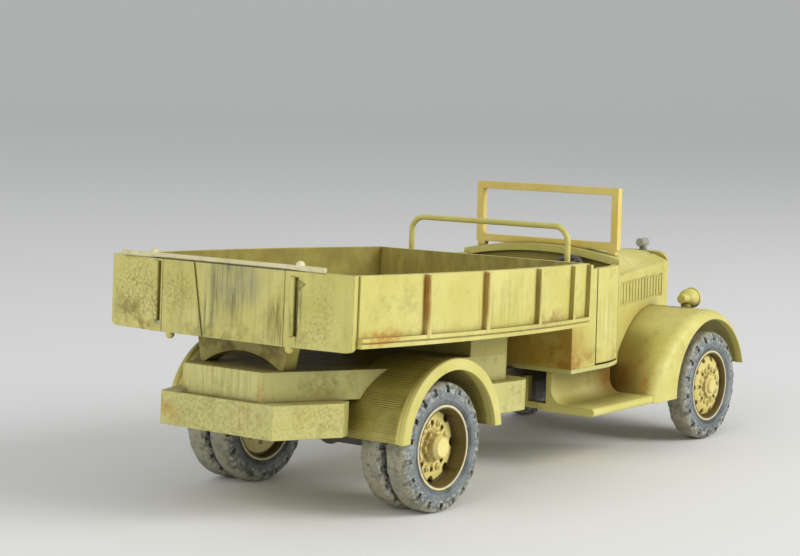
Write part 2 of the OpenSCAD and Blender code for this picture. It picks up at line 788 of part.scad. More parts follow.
// crowned top of the hood between the crease lines: a cone along the truck
module hood_top() {
  past = 4;
  slope = (cone_r1 - cone_r0) / cone_l;
  intersection() {
    upright(cab_z, crown_z + 1) polygon([
      [cowl_x, -hood_half_rear], [radiator_x, -hood_top_half],
      [radiator_x, hood_top_half], [cowl_x, hood_half_rear]
    ]);
    translate([cowl_x, 0, cone_z0]) rotate([0, 90 - hood_tilt, 0]) translate([0, 0, -past])
      cylinder(h = cone_l + 2 * past, r1 = cone_r0 - slope * past, r2 = cone_r1 + slope * past, $fn = 180);
  }
}

// left shoulder of the hood, from a point at the cowl to its full width at the radiator
module hood_shoulder() {
  lap = 0.2;
  start = [cowl_x, hood_half_rear, hood_crease_z];
  inner = [radiator_x, hood_top_half, nose_z - front_drop];
  outer = [radiator_x, hood_half_front, nose_z - front_drop - shoulder_drop];
  normal = cross(inner - start, outer - start);
  intersection() {
    upright(cab_z, crown_z) polygon([
      [cowl_x, hood_half_rear - lap], [radiator_x, hood_top_half - lap],
      [radiator_x, hood_half_front], [cowl_x, hood_half_rear]
    ]);
    // everything below the plane through the three points
    translate(start) rotate([0, acos(normal[2] / norm(normal)), atan2(normal[1], normal[0])])
      translate([-far, -far, -2 * far]) cube(2 * far);
  }
}

module hood() {
  taper = atan2(hood_half_rear - hood_half_front, hood_l);
  side_l = hood_l / cos(taper);
  panel_x = 1.9;
  panel_l = side_l - 4;
  panel_h = 2.6;
  panel_z = hood_crease_z - 0.75 - panel_h;
  recess = 0.15;
  slat = panel_l / louvre_count;
  color(paint) on_truck() {
    difference() {
      union() {
        hood_top();
        both_sides() hood_shoulder();
      }
      both_sides() translate([cowl_x, hood_half_rear, 0]) rotate([0, 0, -taper])
        translate([panel_x, -recess, panel_z]) cube([panel_l, 1, panel_h]);
    }
    both_sides() translate([cowl_x, hood_half_rear, 0]) rotate([0, 0, -taper])
      for (i = [0 : louvre_count - 1]) translate([panel_x + (i + 0.2) * slat, -recess - 0.1, panel_z + 0.2])
        cube([slat * 0.6, recess + 0.05, panel_h - 0.4]);
  }
}

module grille_plan() {
  r = (pow(hood_half_front, 2) + pow(grille_bulge, 2)) / (2 * grille_bulge);
  intersection() {
    translate([radiator_x + grille_bulge - r, 0]) circle(r, $fn = 180);
    translate([radiator_x, -far]) square([far, 2 * far]);
  }
}

module radiator_grille() {
  z0 = rail_z + rail_h;
  z1 = nose_z - 0.2;
  shoulder = 1.6;
  bar_step = hood_half_front / (grille_bars + 0.8);
  slot_w = bar_step * 0.5;
  plate_t = 0.5;
  sill = 1;
  color(steel) on_truck() difference() {
    intersection() {
      upright(z0, z1) grille_plan();
      along_x(radiator_x - 1, radiator_x + 4) {
        translate([-far / 2, z0 - 1]) square([far, z1 - shoulder - z0 + 1]);
        translate([-hood_half_front + shoulder, z0]) square([2 * (hood_half_front - shoulder), z1 - z0]);
        for (s = [-1, 1]) translate([s * (hood_half_front - shoulder), z1 - shoulder]) circle(shoulder);
      }
    }
    for (i = [-grille_bars : grille_bars - 1])
      translate([radiator_x + plate_t, (i + 0.5) * bar_step - slot_w / 2, z0 + sill])
        cube([far, slot_w, z1 - shoulder - z0 - sill]);
  }
}

module radiator_cap() {
  cap_r = 0.5;
  x = radiator_x + grille_bulge - 0.5;
  z = nose_z - 0.2;
  color(steel) on_truck() translate([x, 0, z]) {
    cylinder(h = 0.6, r = 0.45);
    translate([-0.9, 0, 0.9]) rotate([0, 90, 0]) cylinder(h = 1.5, r = cap_r);
    translate([0.6, 0, 0.9]) rotate([0, 90, 0]) cylinder(h = 0.35, r = cap_r * 0.7);
  }
}

module front_bumper() {
  t = 0.8;
  sweep_r = 60;
  z = rail_z + rail_h / 2;
  color(paint) on_truck() {
    intersection() {
      upright(z - bumper_h / 2, z + bumper_h / 2) difference() {
        translate([bumper_x - sweep_r, 0]) circle(sweep_r, $fn = 360);
        translate([bumper_x - sweep_r, 0]) circle(sweep_r - t, $fn = 360);
      }
      block(bumper_x - 4, bumper_x + 1, bumper_w / 2, 0, far);
    }
    both_sides() translate([bumper_x - 1.2, rail_w / 2 - 0.9, z - 0.5]) cube([0.6, 0.9, 1]);
  }
}

// section of the front fender, from its top edge inwards: a sheet with a rounded edge and a side skirt
module fender_blank(top, edge, round_r, y0) {
  depth = 6;
  translate([top - depth, y0]) square([depth - round_r, edge - y0]);
  translate([top - depth, y0]) square([depth, edge - round_r - y0]);
  translate([top - round_r, edge - round_r]) circle(round_r);
}

module fender_section() {
  inner_y = rail_w / 2 + fit;
  difference() {
    fender_blank(0, fender_half, fender_round, inner_y);
    fender_blank(-sheet, fender_half - sheet, fender_round - sheet, inner_y - 1);
  }
}

module front_fender(side) {
  color(paint) on_truck() on_side(side) difference() {
    union() {
      intersection() {
        about_y(arch_x, arch_z) rotate([0, 0, -90]) rotate_extrude(angle = 90, $fn = 180)
          translate([front_arc_r, 0]) fender_section();
        translate([arch_x - 1, 0, fender_front_z]) cube(far);
      }
      intersection() {
        about_y(arch_x, fender_top - rear_arc_r) rotate([0, 0, -180]) rotate_extrude(angle = 90, $fn = 180)
          translate([rear_arc_r, 0]) fender_section();
        translate([arch_x - far, 0, board_low]) cube([far + 1, far, far]);
      }
    }
    // wheel opening
    rod_y(arch_x, arch_z, fender_half - sheet - fender_round, fender_half + 1, arch_r);
    // room for the hood, and for the grille in front of it
    upright(cab_z - fit, far) {
      hood_plan(fit);
      translate([radiator_x, -hood_half_front - fit]) square([far, 2 * (hood_half_front + fit)]);
    }
  }
}

module running_board(side) {
  x0 = cab_x + 0.8;
  outer = fender_half - 0.1;
  inner = fender_half - 7;
  skirt_y = inner + 1;
  skirt_r = cab_lift * 0.45;
  skirt_t = sheet * 0.8;
  skirt_x1 = cowl_x - 1.6;
  bracket = 0.7;
  board_lap = 2;
  color(paint) on_truck() on_side(side) {
    difference() {
      along_x(x0, arch_x - fender_sweep + board_lap) {
        translate([inner, board_low]) square([outer - board_t / 2 - inner, board_t]);
        translate([outer - board_t / 2, board_z - board_t / 2]) circle(board_t / 2);
      }
      // the front end follows the fender's rear sweep
      rod_y(arch_x, fender_top - rear_arc_r, 0, far, rear_arc_r + fit);
    }
    // valance under the cab, curved out at its foot
    along_x(x0, skirt_x1) {
      translate([skirt_y, board_z - 0.1]) square([skirt_t, cab_z - board_z + 0.1]);
      difference() {
        translate([skirt_y, board_z - 0.1]) square([skirt_t + skirt_r, skirt_r + 0.1]);
        translate([skirt_y + skirt_t + skirt_r, board_z + skirt_r]) circle(skirt_r);
      }
    }
    // brackets from the frame
    for (x = [x0 + 1, skirt_x1 - 2]) translate([x, rail_w / 2 + fit, board_low])
      cube([bracket, inner - rail_w / 2, bracket]);
    for (x = [x0 + 1, skirt_x1 - 2]) translate([x, rail_w / 2 + fit, board_low])
      cube([bracket, bracket, cab_z - rail_h / 2 - board_low]);
  }
}

module headlamp(side) {
  r = lamp_d / 2;
  x1 = arch_x + 2.6;
  z = fender_top + r * 0.85;
  color(paint) on_truck() on_side(side) difference() {
    translate([0, lamp_y, z]) {
      translate([x1 - 0.9, 0, 0]) rotate([0, 90, 0]) cylinder(h = 0.9, r = r);
      // bullet-shaped back
      translate([x1 - 0.9, 0, 0]) rotate([0, -90, 0]) rotate_extrude() intersection() {
        circle(r);
        square(far);
      }
      translate([x1 - lamp_l, 0, 0]) rotate([0, 90, 0]) cylinder(h = lamp_l - 1, r1 = 0.5, r2 = r * 0.75);
      // foot on the fender
      translate([x1 - 1.4, 0, -r - 0.4]) cylinder(h = 0.9, r = 0.6);
    }
    rod_y(arch_x, arch_z, 0, far, front_arc_r + fit);
  }
}

// Wheels

module tyre_ring(y0) {
  y1 = y0 + tyre_w;
  reach = 0.5;
  difference() {
    rotate_extrude($fn = 96) {
      translate([rim_r, y0]) square([tyre_r - shoulder_r - rim_r, tyre_w]);
      translate([rim_r, y0 + shoulder_r]) square([tyre_r - rim_r, tyre_w - 2 * shoulder_r]);
      for (y = [y0 + shoulder_r, y1 - shoulder_r])
        translate([tyre_r - shoulder_r, y]) circle(shoulder_r, $fn = 24);
    }
    for (i = [0 : lug_count - 1]) rotate([0, 0, i * 360 / lug_count])
      for (y = [y0 - 1, y1 - reach]) translate([tyre_r - lug_depth, -lug_l / 2, y])
        cube([lug_depth + 1, lug_l, reach + 1]);
  }
}

module tyre_front(side) {
  color(rubber) on_truck() on_side(side) about_y(front_x, tyre_r) tyre_ring(front_in);
}

module tyres_rear(side) {
  color(rubber) on_truck() on_side(side) about_y(0, tyre_r) {
    tyre_ring(rear_in);
    tyre_ring(rear_out - tyre_w);
  }
}

module ring_of_holes(count, ring_r, hole_r, y, depth) {
  for (i = [0 : count - 1]) rotate([0, 0, i * 360 / count]) translate([ring_r, 0, y - depth])
    cylinder(h = depth + 1, r = hole_r, $fn = 24);
}

module wheel_front(side) {
  barrel = rim_r - rim_wall;
  y0 = front_in + rim_inset;
  y1 = front_out - rim_inset;
  face = front_out - 0.35;
  color(paint) on_truck() on_side(side) about_y(front_x, tyre_r) difference() {
    rotate_extrude($fn = 96) polygon([
      [rim_r, y0], [rim_r, y1], [barrel, y1], [barrel - 0.1, face - 0.45], [2.5, face], [1.35, face],
      [1.3, face + 0.3], [0.9, face + 0.3], [0.8, face + 0.6], [0, face + 0.65],
      [0, front_pin_end], [bore_r, front_pin_end], [bore_r, front_in + disc_inset],
      [barrel, front_in + disc_inset], [barrel, y0]
    ]);
    ring_of_holes(10, barrel - 0.6, 0.32, face, 0.8);
    ring_of_holes(8, 1.9, 0.2, face, 0.3);
  }
}

module wheel_rear(side) {
  barrel = rim_r - rim_wall;
  y0 = rear_in + rim_inset;
  y1 = rear_out - rim_inset;
  notch_r = barrel * 0.12;
  color(paint) on_truck() on_side(side) about_y(0, tyre_r) difference() {
    union() {
      rotate_extrude($fn = 96) polygon([
        [rim_r, y0], [rim_r, y1], [barrel, y1], [barrel, rear_face - 0.2], [barrel * 0.62, rear_face],
        [1.2, rear_face], [1.15, rear_face + 0.9], [0.9, rear_face + 1.3], [0, rear_face + 1.35],
        [0, rear_in + disc_inset], [barrel, rear_in + disc_inset], [barrel, y0]
      ]);
      // six-sided flange under the hub cap
      translate([0, 0, rear_face - 0.1]) cylinder(h = 0.45, r = 1.55, $fn = 6);
    }
    // scallops round the disc, and the holes of its studs
    ring_of_holes(8, barrel - notch_r * 0.8, notch_r, rear_face, 1.4);
    ring_of_holes(8, barrel * 0.6, 0.24, rear_face, 0.5);
    // bore for the axle's pin
    translate([0, 0, rear_in]) cylinder(h = rear_pin_end - rear_in, r = bore_r);
  }
}

chassis_tray();
chassis_box();
rear_bolster();
front_bolster();
frame_rails();
rear_axle();
front_axle();
drive_line();
bed_floor();
bed_front_board();
bed_side(1);  // bed_side_left
bed_side(-1);  // bed_side_right
tail_corner(1);  // tail_corner_left
tail_corner(-1);  // tail_corner_right
tailgate();
tailgate_rail();
rear_fender(1);  // rear_fender_left
rear_fender(-1);  // rear_fender_right
cab_floor();
cab_back();
door(1);  // door_left
door(-1);  // door_right
cowl();
dashboard();
windscreen_frame();
bench_seat();
steering_wheel();
cab_hoop();
hood();
radiator_grille();
radiator_cap();
front_bumper();
front_fender(1);  // front_fender_left
front_fender(-1);  // front_fender_right
running_board(1);  // running_board_left
running_board(-1);  // running_board_right
headlamp(1);  // headlamp_left
headlamp(-1);  // headlamp_right
tyre_front(1);  // tyre_front_left
tyre_front(-1);  // tyre_front_right
tyres_rear(1);  // tyres_rear_left
tyres_rear(-1);  // tyres_rear_right
wheel_front(1);  // wheel_front_left
wheel_front(-1);  // wheel_front_right
wheel_rear(1);  // wheel_rear_left
wheel_rear(-1);  // wheel_rear_right
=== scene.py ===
# %% [markdown]
# # An open-cab cargo truck, painted as a small display model
#
# The solids of the truck come ready made, as a fixed frame of named pieces. This lesson dresses that frame: it gives
# every piece a painted and weathered finish, and models by hand what the solids leave out: the tyres' notches, the
# wheel nuts, the planks of the bed, the pleats of the bench, the lamp glasses and the dials. All lengths are metres, in
# the frame's own axes: X runs forward, Y to the truck's left and Z up, with the ground at zero.

# %% Load the frame
import json
import math

import bmesh
import bpy
from mathutils import Matrix, Vector


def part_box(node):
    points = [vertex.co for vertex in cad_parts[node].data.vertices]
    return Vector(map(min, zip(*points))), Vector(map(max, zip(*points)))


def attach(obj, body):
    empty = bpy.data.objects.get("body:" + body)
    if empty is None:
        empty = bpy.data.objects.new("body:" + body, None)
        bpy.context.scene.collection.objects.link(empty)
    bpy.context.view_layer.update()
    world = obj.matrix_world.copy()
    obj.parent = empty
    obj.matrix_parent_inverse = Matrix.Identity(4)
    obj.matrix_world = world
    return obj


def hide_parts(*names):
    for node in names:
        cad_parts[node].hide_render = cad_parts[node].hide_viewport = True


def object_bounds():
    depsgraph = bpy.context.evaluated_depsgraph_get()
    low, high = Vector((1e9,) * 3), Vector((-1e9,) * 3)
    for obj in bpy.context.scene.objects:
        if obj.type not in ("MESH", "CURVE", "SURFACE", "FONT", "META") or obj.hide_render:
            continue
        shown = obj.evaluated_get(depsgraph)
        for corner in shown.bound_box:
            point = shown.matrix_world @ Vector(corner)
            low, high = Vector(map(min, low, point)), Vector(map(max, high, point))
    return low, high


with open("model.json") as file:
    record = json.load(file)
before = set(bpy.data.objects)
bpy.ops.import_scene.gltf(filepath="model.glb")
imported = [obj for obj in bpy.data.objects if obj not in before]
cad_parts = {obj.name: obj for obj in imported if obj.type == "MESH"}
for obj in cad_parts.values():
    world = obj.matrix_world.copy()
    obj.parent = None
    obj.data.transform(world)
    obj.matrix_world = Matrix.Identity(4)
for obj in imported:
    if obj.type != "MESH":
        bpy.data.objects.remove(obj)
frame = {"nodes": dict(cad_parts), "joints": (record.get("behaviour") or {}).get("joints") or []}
cad_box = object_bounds()
nodes = frame["nodes"]
MM = 0.001
joint_at = {joint["child"]: Vector(joint["pos_m"]) for joint in frame["joints"]}
rear_axle = joint_at["rear_right_wheels"]
front_axle = joint_at["front_right_wheel"]


def from_rear_axle(x, y, z):
    """A place given in millimetres from the point on the ground under the rear axle."""
    return Vector((rear_axle.x, 0, 0)) + Vector((x, y, z)) * MM


print("pieces in the frame:", len(nodes), "size in mm:", [round((b - a) / MM, 1) for a, b in zip(*cad_box)])

# %% [markdown]
# ## The camera
#
# The photograph was taken from behind the truck's right rear corner, a little above the bed, with a long lens from
# close by. A camera can be set by eye, or worked out from known points. Here it was worked out from the round wheels
# and the straight edges, and is written as a place seen from the rear axle and three angles.

# %% Camera
photo_width = 800
focal_pixels = 1999.6
camera_place = from_rear_axle(-149.3, -119.1, 39.8)
camera_yaw, camera_pitch, camera_roll = 0.640, 0.098, 0.021

ahead = Vector((math.cos(camera_yaw) * math.cos(camera_pitch),
                math.sin(camera_yaw) * math.cos(camera_pitch), -math.sin(camera_pitch)))
level = Vector((math.sin(camera_yaw), -math.cos(camera_yaw), 0))
over = level.cross(ahead)
to_right = level * math.cos(camera_roll) + over * math.sin(camera_roll)
to_top = over * math.cos(camera_roll) - level * math.sin(camera_roll)

camera_data = bpy.data.cameras.new("photo_camera")
camera_data.sensor_width = 36
camera_data.lens = focal_pixels * camera_data.sensor_width / photo_width
camera_data.clip_start, camera_data.clip_end = 0.01, 10
camera = bpy.data.objects.new("photo_camera", camera_data)
camera.matrix_world = Matrix((to_right, to_top, -ahead)).transposed().to_4x4()
camera.location = camera_place
bpy.context.scene.collection.objects.link(camera)
bpy.context.scene.camera = camera
print("lens in mm:", round(camera_data.lens, 1))

# %% [markdown]
# ## The table and the backdrop
#
# A small model is shown on a plain pale sweep: a sheet that lies flat under it and curves up behind, so that no edge
# shows. It could be a plane and a wall, but their corner would draw a line. Here the sheet starts as a plane, turned to
# face the camera, and its far edge is extruded again and again, each time turned a little further up.

# %% Table and backdrop
bpy.ops.object.select_all(action="DESELECT")
bpy.ops.mesh.primitive_plane_add(size=3)
table = bpy.context.object
table.name = "table"
bpy.ops.object.mode_set(mode="EDIT")
bpy.ops.mesh.select_mode(type="EDGE")
bpy.ops.mesh.select_all(action="DESELECT")
sheet = bmesh.from_edit_mesh(table.data)
for edge in sheet.edges:
    edge.select_set(all(vert.co.x > 1 for vert in edge.verts))
bmesh.update_edit_mesh(table.data)
curve_steps, curve_step, wall_height = 12, 0.10, 2
for step in range(curve_steps):
    rise = math.radians(90) * (step + 0.5) / curve_steps
    bpy.ops.mesh.extrude_region_move(TRANSFORM_OT_translate={
        "value": (curve_step * math.cos(rise), 0, curve_step * math.sin(rise))})
bpy.ops.mesh.extrude_region_move(TRANSFORM_OT_translate={"value": (0, 0, wall_height)})
bpy.ops.mesh.select_all(action="SELECT")
bpy.ops.mesh.normals_make_consistent(inside=False)
bpy.ops.object.mode_set(mode="OBJECT")
bpy.ops.object.shade_smooth()
table.rotation_euler.z = camera_yaw
bpy.ops.object.transform_apply(rotation=True)
table_finish = bpy.data.materials.new("table_finish")
table_finish.use_nodes = True
table_shader = table_finish.node_tree.nodes["Principled BSDF"]
table_shader.inputs["Base Color"].default_value = (0.90, 0.89, 0.86, 1)
table_shader.inputs["Roughness"].default_value = 0.75
table.data.materials.append(table_finish)
print("sheet of", len(table.data.polygons), "faces")

# %% [markdown]
# ## The light
#
# In the photograph the right side is bright, the tops are a little darker and the faces that look back are in half
# shade. So one large lamp stands on the truck's right, in front and not very high. A weak lamp from behind and the
# pale sky fill the shadows. The sky is plain, so gloss shows no picture in it.

# %% Sky and lamps
sky = bpy.data.worlds.new("studio_sky")
sky.use_nodes = True
sky.node_tree.nodes["Background"].inputs["Color"].default_value = (0.93, 0.96, 1.0, 1)
sky.node_tree.nodes["Background"].inputs["Strength"].default_value = 0.5
bpy.context.scene.world = sky
bpy.context.scene.view_settings.view_transform = "Standard"


def add_lamp(name, place, aim, size, watts):
    """A square soft lamp that looks at a point."""
    lamp_data = bpy.data.lights.new(name, "AREA")
    lamp_data.size = size
    lamp_data.energy = watts
    lamp = bpy.data.objects.new(name, lamp_data)
    lamp.location = place
    lamp.rotation_euler = (Vector(aim) - Vector(place)).to_track_quat("-Z", "Y").to_euler()
    bpy.context.scene.collection.objects.link(lamp)
    return lamp


middle = (cad_box[0] + cad_box[1]) / 2
key_lamp = add_lamp("key_lamp", place=(0.16, -0.44, 0.26), aim=middle, size=0.28, watts=1.75)
fill_lamp = add_lamp("fill_lamp", place=(-0.50, 0.0, 0.25), aim=middle, size=0.40, watts=0.8)
print("lamps:", [lamp.name for lamp in (key_lamp, fill_lamp)])

# %% [markdown]
# ## Tools for building finishes
#
# A finish is a graph of nodes. Short helpers keep its code readable: one adds a node and wires what it is given, and
# the others are single steps, such as a sum or a mix of two colours. Colours are written as they look on a screen, from
# 0 to 255, and turned into the linear values that the shader wants.

# %% Node helpers


def colour(red, green, blue):
    """A screen colour as linear values with full alpha."""
    parts = [c / 255 for c in (red, green, blue)]
    return tuple(c / 12.92 if c <= 0.04045 else ((c + 0.055) / 1.055) ** 2.4 for c in parts) + (1,)


def add_node(tree, kind, inputs=None, **settings):
    """A shader node with its settings, and its inputs wired or set."""
    made = tree.nodes.new("ShaderNode" + kind)
    for name, value in settings.items():
        setattr(made, name, value)
    for name, value in (inputs or {}).items():
        if isinstance(value, bpy.types.NodeSocket):
            tree.links.new(value, made.inputs[name])
        else:
            made.inputs[name].default_value = value
    return made


def mix(tree, share, first, second):
    """A colour between two colours."""
    return add_node(tree, "Mix", {0: share, 6: first, 7: second}, data_type="RGBA").outputs[2]


def calc(tree, operation, first, second=0.0, limit=False):
    """One sum with two numbers."""
    return add_node(tree, "Math", {0: first, 1: second}, operation=operation, use_clamp=limit).outputs[0]


def times(tree, first, second, limit=False):
    """Two numbers multiplied."""
    return calc(tree, "MULTIPLY", first, second, limit)


def lay(tree, base, tone, mask, strength):
    """A tone laid over a base colour, where a mask says and so strongly."""
    return mix(tree, times(tree, mask, strength), base, tone)


print("node helpers ready")

# %% [markdown]
# A mask says where an effect shows, from 0 to 1. It starts from a place on the piece or from a noise, and a smooth step
# sets how soft its border is. A colour ramp would do that too, but a step with two named ends is easier to read.

# %% Mask helpers


def vector(tree, operation, first, second=(0, 0, 0), out="Vector"):
    """One sum with two vectors. The answer is a vector, or a number where out is Value."""
    return add_node(tree, "VectorMath", {0: first, 1: second}, operation=operation).outputs[out]


def axes(tree, place):
    """The X, Y and Z of a place."""
    return add_node(tree, "SeparateXYZ", {0: place}).outputs


def ease(tree, value, low, high, start=0.0, end=1.0):
    """A smooth step from start to end while value goes from low to high."""
    return add_node(tree, "MapRange", {"Value": value, "From Min": low, "From Max": high, "To Min": start,
                                       "To Max": end}, interpolation_type="SMOOTHSTEP").outputs[0]


def noise(tree, place, scale, detail=4.0, rough=0.55):
    """Cloudy noise from 0 to 1, with so many lumps in a metre."""
    return add_node(tree, "TexNoise", {"Vector": place, "Scale": scale, "Detail": detail,
                                       "Roughness": rough}).outputs["Fac"]


def stretched(tree, place, scale):
    """Coordinates scaled on each axis, for streaks and layers."""
    return add_node(tree, "Mapping", {"Vector": place, "Scale": scale}).outputs[0]


print("mask helpers ready")

# %% [markdown]
# ## Groups of nodes
#
# What several finishes share goes into a node group, with named inputs and outputs, and each material places that group
# with its own amounts. The nodes could be copied into every material instead, but then a change would have to be made
# in all of them.

# %% Group helpers


def new_group(name, takes, gives):
    """An empty node group with named sockets. Returns the tree, its inputs and its output node."""
    tree = bpy.data.node_groups.new(name, "ShaderNodeTree")
    kinds = {float: "NodeSocketFloat", tuple: "NodeSocketColor", Vector: "NodeSocketVector"}
    for socket_name, default in takes.items():
        socket = tree.interface.new_socket(socket_name, in_out="INPUT", socket_type=kinds[type(default)])
        socket.default_value = default
    for socket_name, kind in gives.items():
        tree.interface.new_socket(socket_name, in_out="OUTPUT", socket_type=kinds[kind])
    inner = tree.nodes.new("NodeGroupInput").outputs
    return tree, inner, tree.nodes.new("NodeGroupOutput").inputs


def place_group(tree, group, inputs):
    """A node that uses a group, with its inputs wired or set."""
    return add_node(tree, "Group", inputs, node_tree=group).outputs


print("group helpers ready")

# %% [markdown]
# ## Edges and corners
#
# A painter of models rubs pale paint over raised edges and lets dark wash run into corners. Both need a mask of where
# the edges are. It could be painted by hand for each piece. It is quicker to ask the renderer: the Bevel node bends
# the surface's direction near an edge, so where it differs from the true one there is an edge, and Ambient Occlusion
# tells how closed in a point is. The bent direction is also passed on, so that sharp solids catch light as if their
# edges were slightly rounded, as moulded and painted ones are. A second, wider occlusion finds the places under the
# bed and inside the cab, whose colour is darkened there as painted shade.

# %% Group: edges and corners
edges_group, takes, gives = new_group(
    "edges_and_corners", {"Edge Width": 0.15 * MM, "Corner Reach": 0.9 * MM, "Shade Reach": 6.0 * MM},
    {"Edge": float, "Corner": float, "Shade": float, "Soft Normal": Vector})
tree = edges_group
bent = add_node(tree, "Bevel", {"Radius": takes["Edge Width"]}, samples=4).outputs[0]
true_way = add_node(tree, "NewGeometry").outputs["True Normal"]
agreement = vector(tree, "DOT_PRODUCT", bent, true_way, out="Value")
openness = add_node(tree, "AmbientOcclusion", {"Distance": takes["Corner Reach"]}, samples=6).outputs["AO"]
sky_seen = add_node(tree, "AmbientOcclusion", {"Distance": takes["Shade Reach"]}, samples=6).outputs["AO"]
edge_mask = times(tree, ease(tree, agreement, 0.995, 0.90), ease(tree, openness, 0.55, 0.85))
tree.links.new(edge_mask, gives["Edge"])
tree.links.new(ease(tree, openness, 0.80, 0.30), gives["Corner"])
tree.links.new(ease(tree, sky_seen, 0.82, 0.30), gives["Shade"])
tree.links.new(bent, gives["Soft Normal"])
print("group:", edges_group.name)

# %% [markdown]
# ## Weathered paint
#
# The truck's sand paint is not one colour. It fades in clouds, has grey-olive stains, rust that bleeds from corners,
# and dirt that ran down. Each of these is a noise pattern with its own size, turned into a mask and mixed over the
# paint in the order in which it happened to the model: fading, stains, rust and run-off. After them come painted shade
# under the overhangs, wash in the corners and pale rubbed edges on top. The group puts out a colour, a roughness and a
# height, and every painted piece uses it with its own amounts.

# %% Group: weathered paint
paint_group, takes, gives = new_group("weathered_paint", {
    "Place": Vector((0, 0, 0)), "Paint": colour(210, 200, 105), "Faded": colour(225, 215, 130),
    "Stain": colour(146, 140, 84), "Rust": colour(176, 122, 34), "Dirt": colour(92, 88, 70),
    "Wash": colour(72, 60, 20), "Shade Paint": colour(104, 88, 22), "Edge Paint": colour(234, 225, 152),
    "Edge": 0.0, "Corner": 0.0, "Shade": 0.0,
    "Stains": 0.4, "Rusting": 0.3, "Run-off": 0.0, "Washing": 0.6, "Shading": 0.75, "Rubbing": 0.5,
}, {"Color": tuple, "Roughness": float, "Height": float})
tree = paint_group
clouds = noise(tree, takes["Place"], 150, 5.0)
blots = noise(tree, takes["Place"], 620, 6.0, 0.65)
specks = noise(tree, takes["Place"], 2600, 3.0, 0.6)
rust_spots = noise(tree, takes["Place"], 330, 6.0, 0.7)
runs = noise(tree, stretched(tree, takes["Place"], (1.0, 1.0, 0.07)), 1500, 4.0, 0.65)
coat = mix(tree, ease(tree, clouds, 0.35, 0.70), takes["Paint"], takes["Faded"])
stain_mask = times(tree, ease(tree, blots, 0.50, 0.78), takes["Stains"])
coat = mix(tree, stain_mask, coat, takes["Stain"])
near_edges = calc(tree, "ADD", times(tree, takes["Edge"], 0.16), times(tree, takes["Corner"], 0.14))
rust_mask = ease(tree, calc(tree, "ADD", rust_spots, near_edges), 0.60, 0.78)
coat = lay(tree, coat, takes["Rust"], rust_mask, takes["Rusting"])
coat = lay(tree, coat, takes["Dirt"], ease(tree, runs, 0.46, 0.72), takes["Run-off"])
# painted shade: places that see little sky are darkened towards Shade Paint
shade_mask = times(tree, takes["Shade"], ease(tree, clouds, 0.2, 0.6, 0.7, 1.0))
coat = lay(tree, coat, takes["Shade Paint"], shade_mask, takes["Shading"])
wash_mask = times(tree, takes["Corner"], calc(tree, "ADD", 0.45, blots), limit=True)
coat = lay(tree, coat, takes["Wash"], wash_mask, takes["Washing"])
rub_mask = times(tree, takes["Edge"], ease(tree, blots, 0.32, 0.60))
coat = lay(tree, coat, takes["Edge Paint"], rub_mask, takes["Rubbing"])
tree.links.new(coat, gives["Color"])
rough = calc(tree, "ADD", ease(tree, blots, 0.3, 0.8, 0.42, 0.62), times(tree, stain_mask, 0.2))
tree.links.new(rough, gives["Roughness"])
tree.links.new(calc(tree, "ADD", times(tree, specks, 0.5), blots), gives["Height"])
print("group:", paint_group.name)

# %% [markdown]
# ## Sand paint
#
# Most of the truck wears one paint, with more or less weather on it. A function makes such a material from a few
# amounts, so that the tray can be more stained than the doors while both stay the same paint. The bump is very low:
# on a model this small, paint grain is a few hundredths of a millimetre.

# %% Painted finishes
painted = {}


def paint_material(name, amounts, grain=0.012 * MM, extra_height=None, tint=None):
    """A weathered paint. extra_height(tree, place) adds a relief, tint(tree, place, colour) changes the colour."""
    amounts = {key: colour(*value) if isinstance(value, tuple) else value for key, value in amounts.items()}
    material = bpy.data.materials.new(name)
    material.use_nodes = True
    tree = material.node_tree
    shader = tree.nodes["Principled BSDF"]
    place = add_node(tree, "TexCoord").outputs["Object"]
    edges = place_group(tree, edges_group, {})
    coat = place_group(tree, paint_group, {"Place": place, "Edge": edges["Edge"], "Corner": edges["Corner"],
                                           "Shade": edges["Shade"], **amounts})
    surface = coat["Color"] if tint is None else tint(tree, place, coat["Color"])
    normal = add_node(tree, "Bump", {"Height": coat["Height"], "Distance": grain, "Strength": 1.0,
                                     "Normal": edges["Soft Normal"]}).outputs[0]
    if extra_height is not None:
        height, depth = extra_height(tree, place)
        normal = add_node(tree, "Bump", {"Height": height, "Distance": depth, "Normal": normal}).outputs[0]
    tree.links.new(surface, shader.inputs["Base Color"])
    tree.links.new(coat["Roughness"], shader.inputs["Roughness"])
    tree.links.new(normal, shader.inputs["Normal"])
    painted[name] = material
    return material


def dress(material, *names):
    """Gives CAD nodes a material in place of the plain one they came with."""
    for name in names:
        nodes[name].data.materials.clear()
        nodes[name].data.materials.append(material)


body_paint = paint_material("body_paint", {"Stains": 0.30, "Rusting": 0.30})
dress(body_paint, "front_bumper", "headlamp_left", "headlamp_right", "radiator_grille", "cab_hoop")
print("first paint:", body_paint.name)

# %% [markdown]
# ## Weather and shade where they sit
#
# Noise alone spreads stains evenly. On the model they have places: rust above the bead near the tail, dark runs in the
# middle of the tailgate. Painted shade has its places too: brown where the fender meets the running board, and olive
# and soot under the bed. Each such place is a soft egg-shaped mask, multiplied by a pattern: blots, vertical streaks,
# fine specks or an even tone, which serves both wash and painted shade. A row gives its middle and size in millimetres
# from the rear axle, the pattern, a colour and how strong it is. Where both sides wear alike, the mask is folded over
# the middle, while the patterns are not, so the sides don't mirror each other.

# %% Placed weather


def spot(tree, place, centre, size):
    """A soft egg-shaped mask: 1 in the middle, 0 at its rim. Centre and size are millimetres from the rear axle."""
    from_centre = vector(tree, "SUBTRACT", place, tuple(from_rear_axle(*centre)))
    away = vector(tree, "LENGTH", vector(tree, "DIVIDE", from_centre, tuple(Vector(size) * MM)), out="Value")
    return ease(tree, away, 1.0, 0.25)


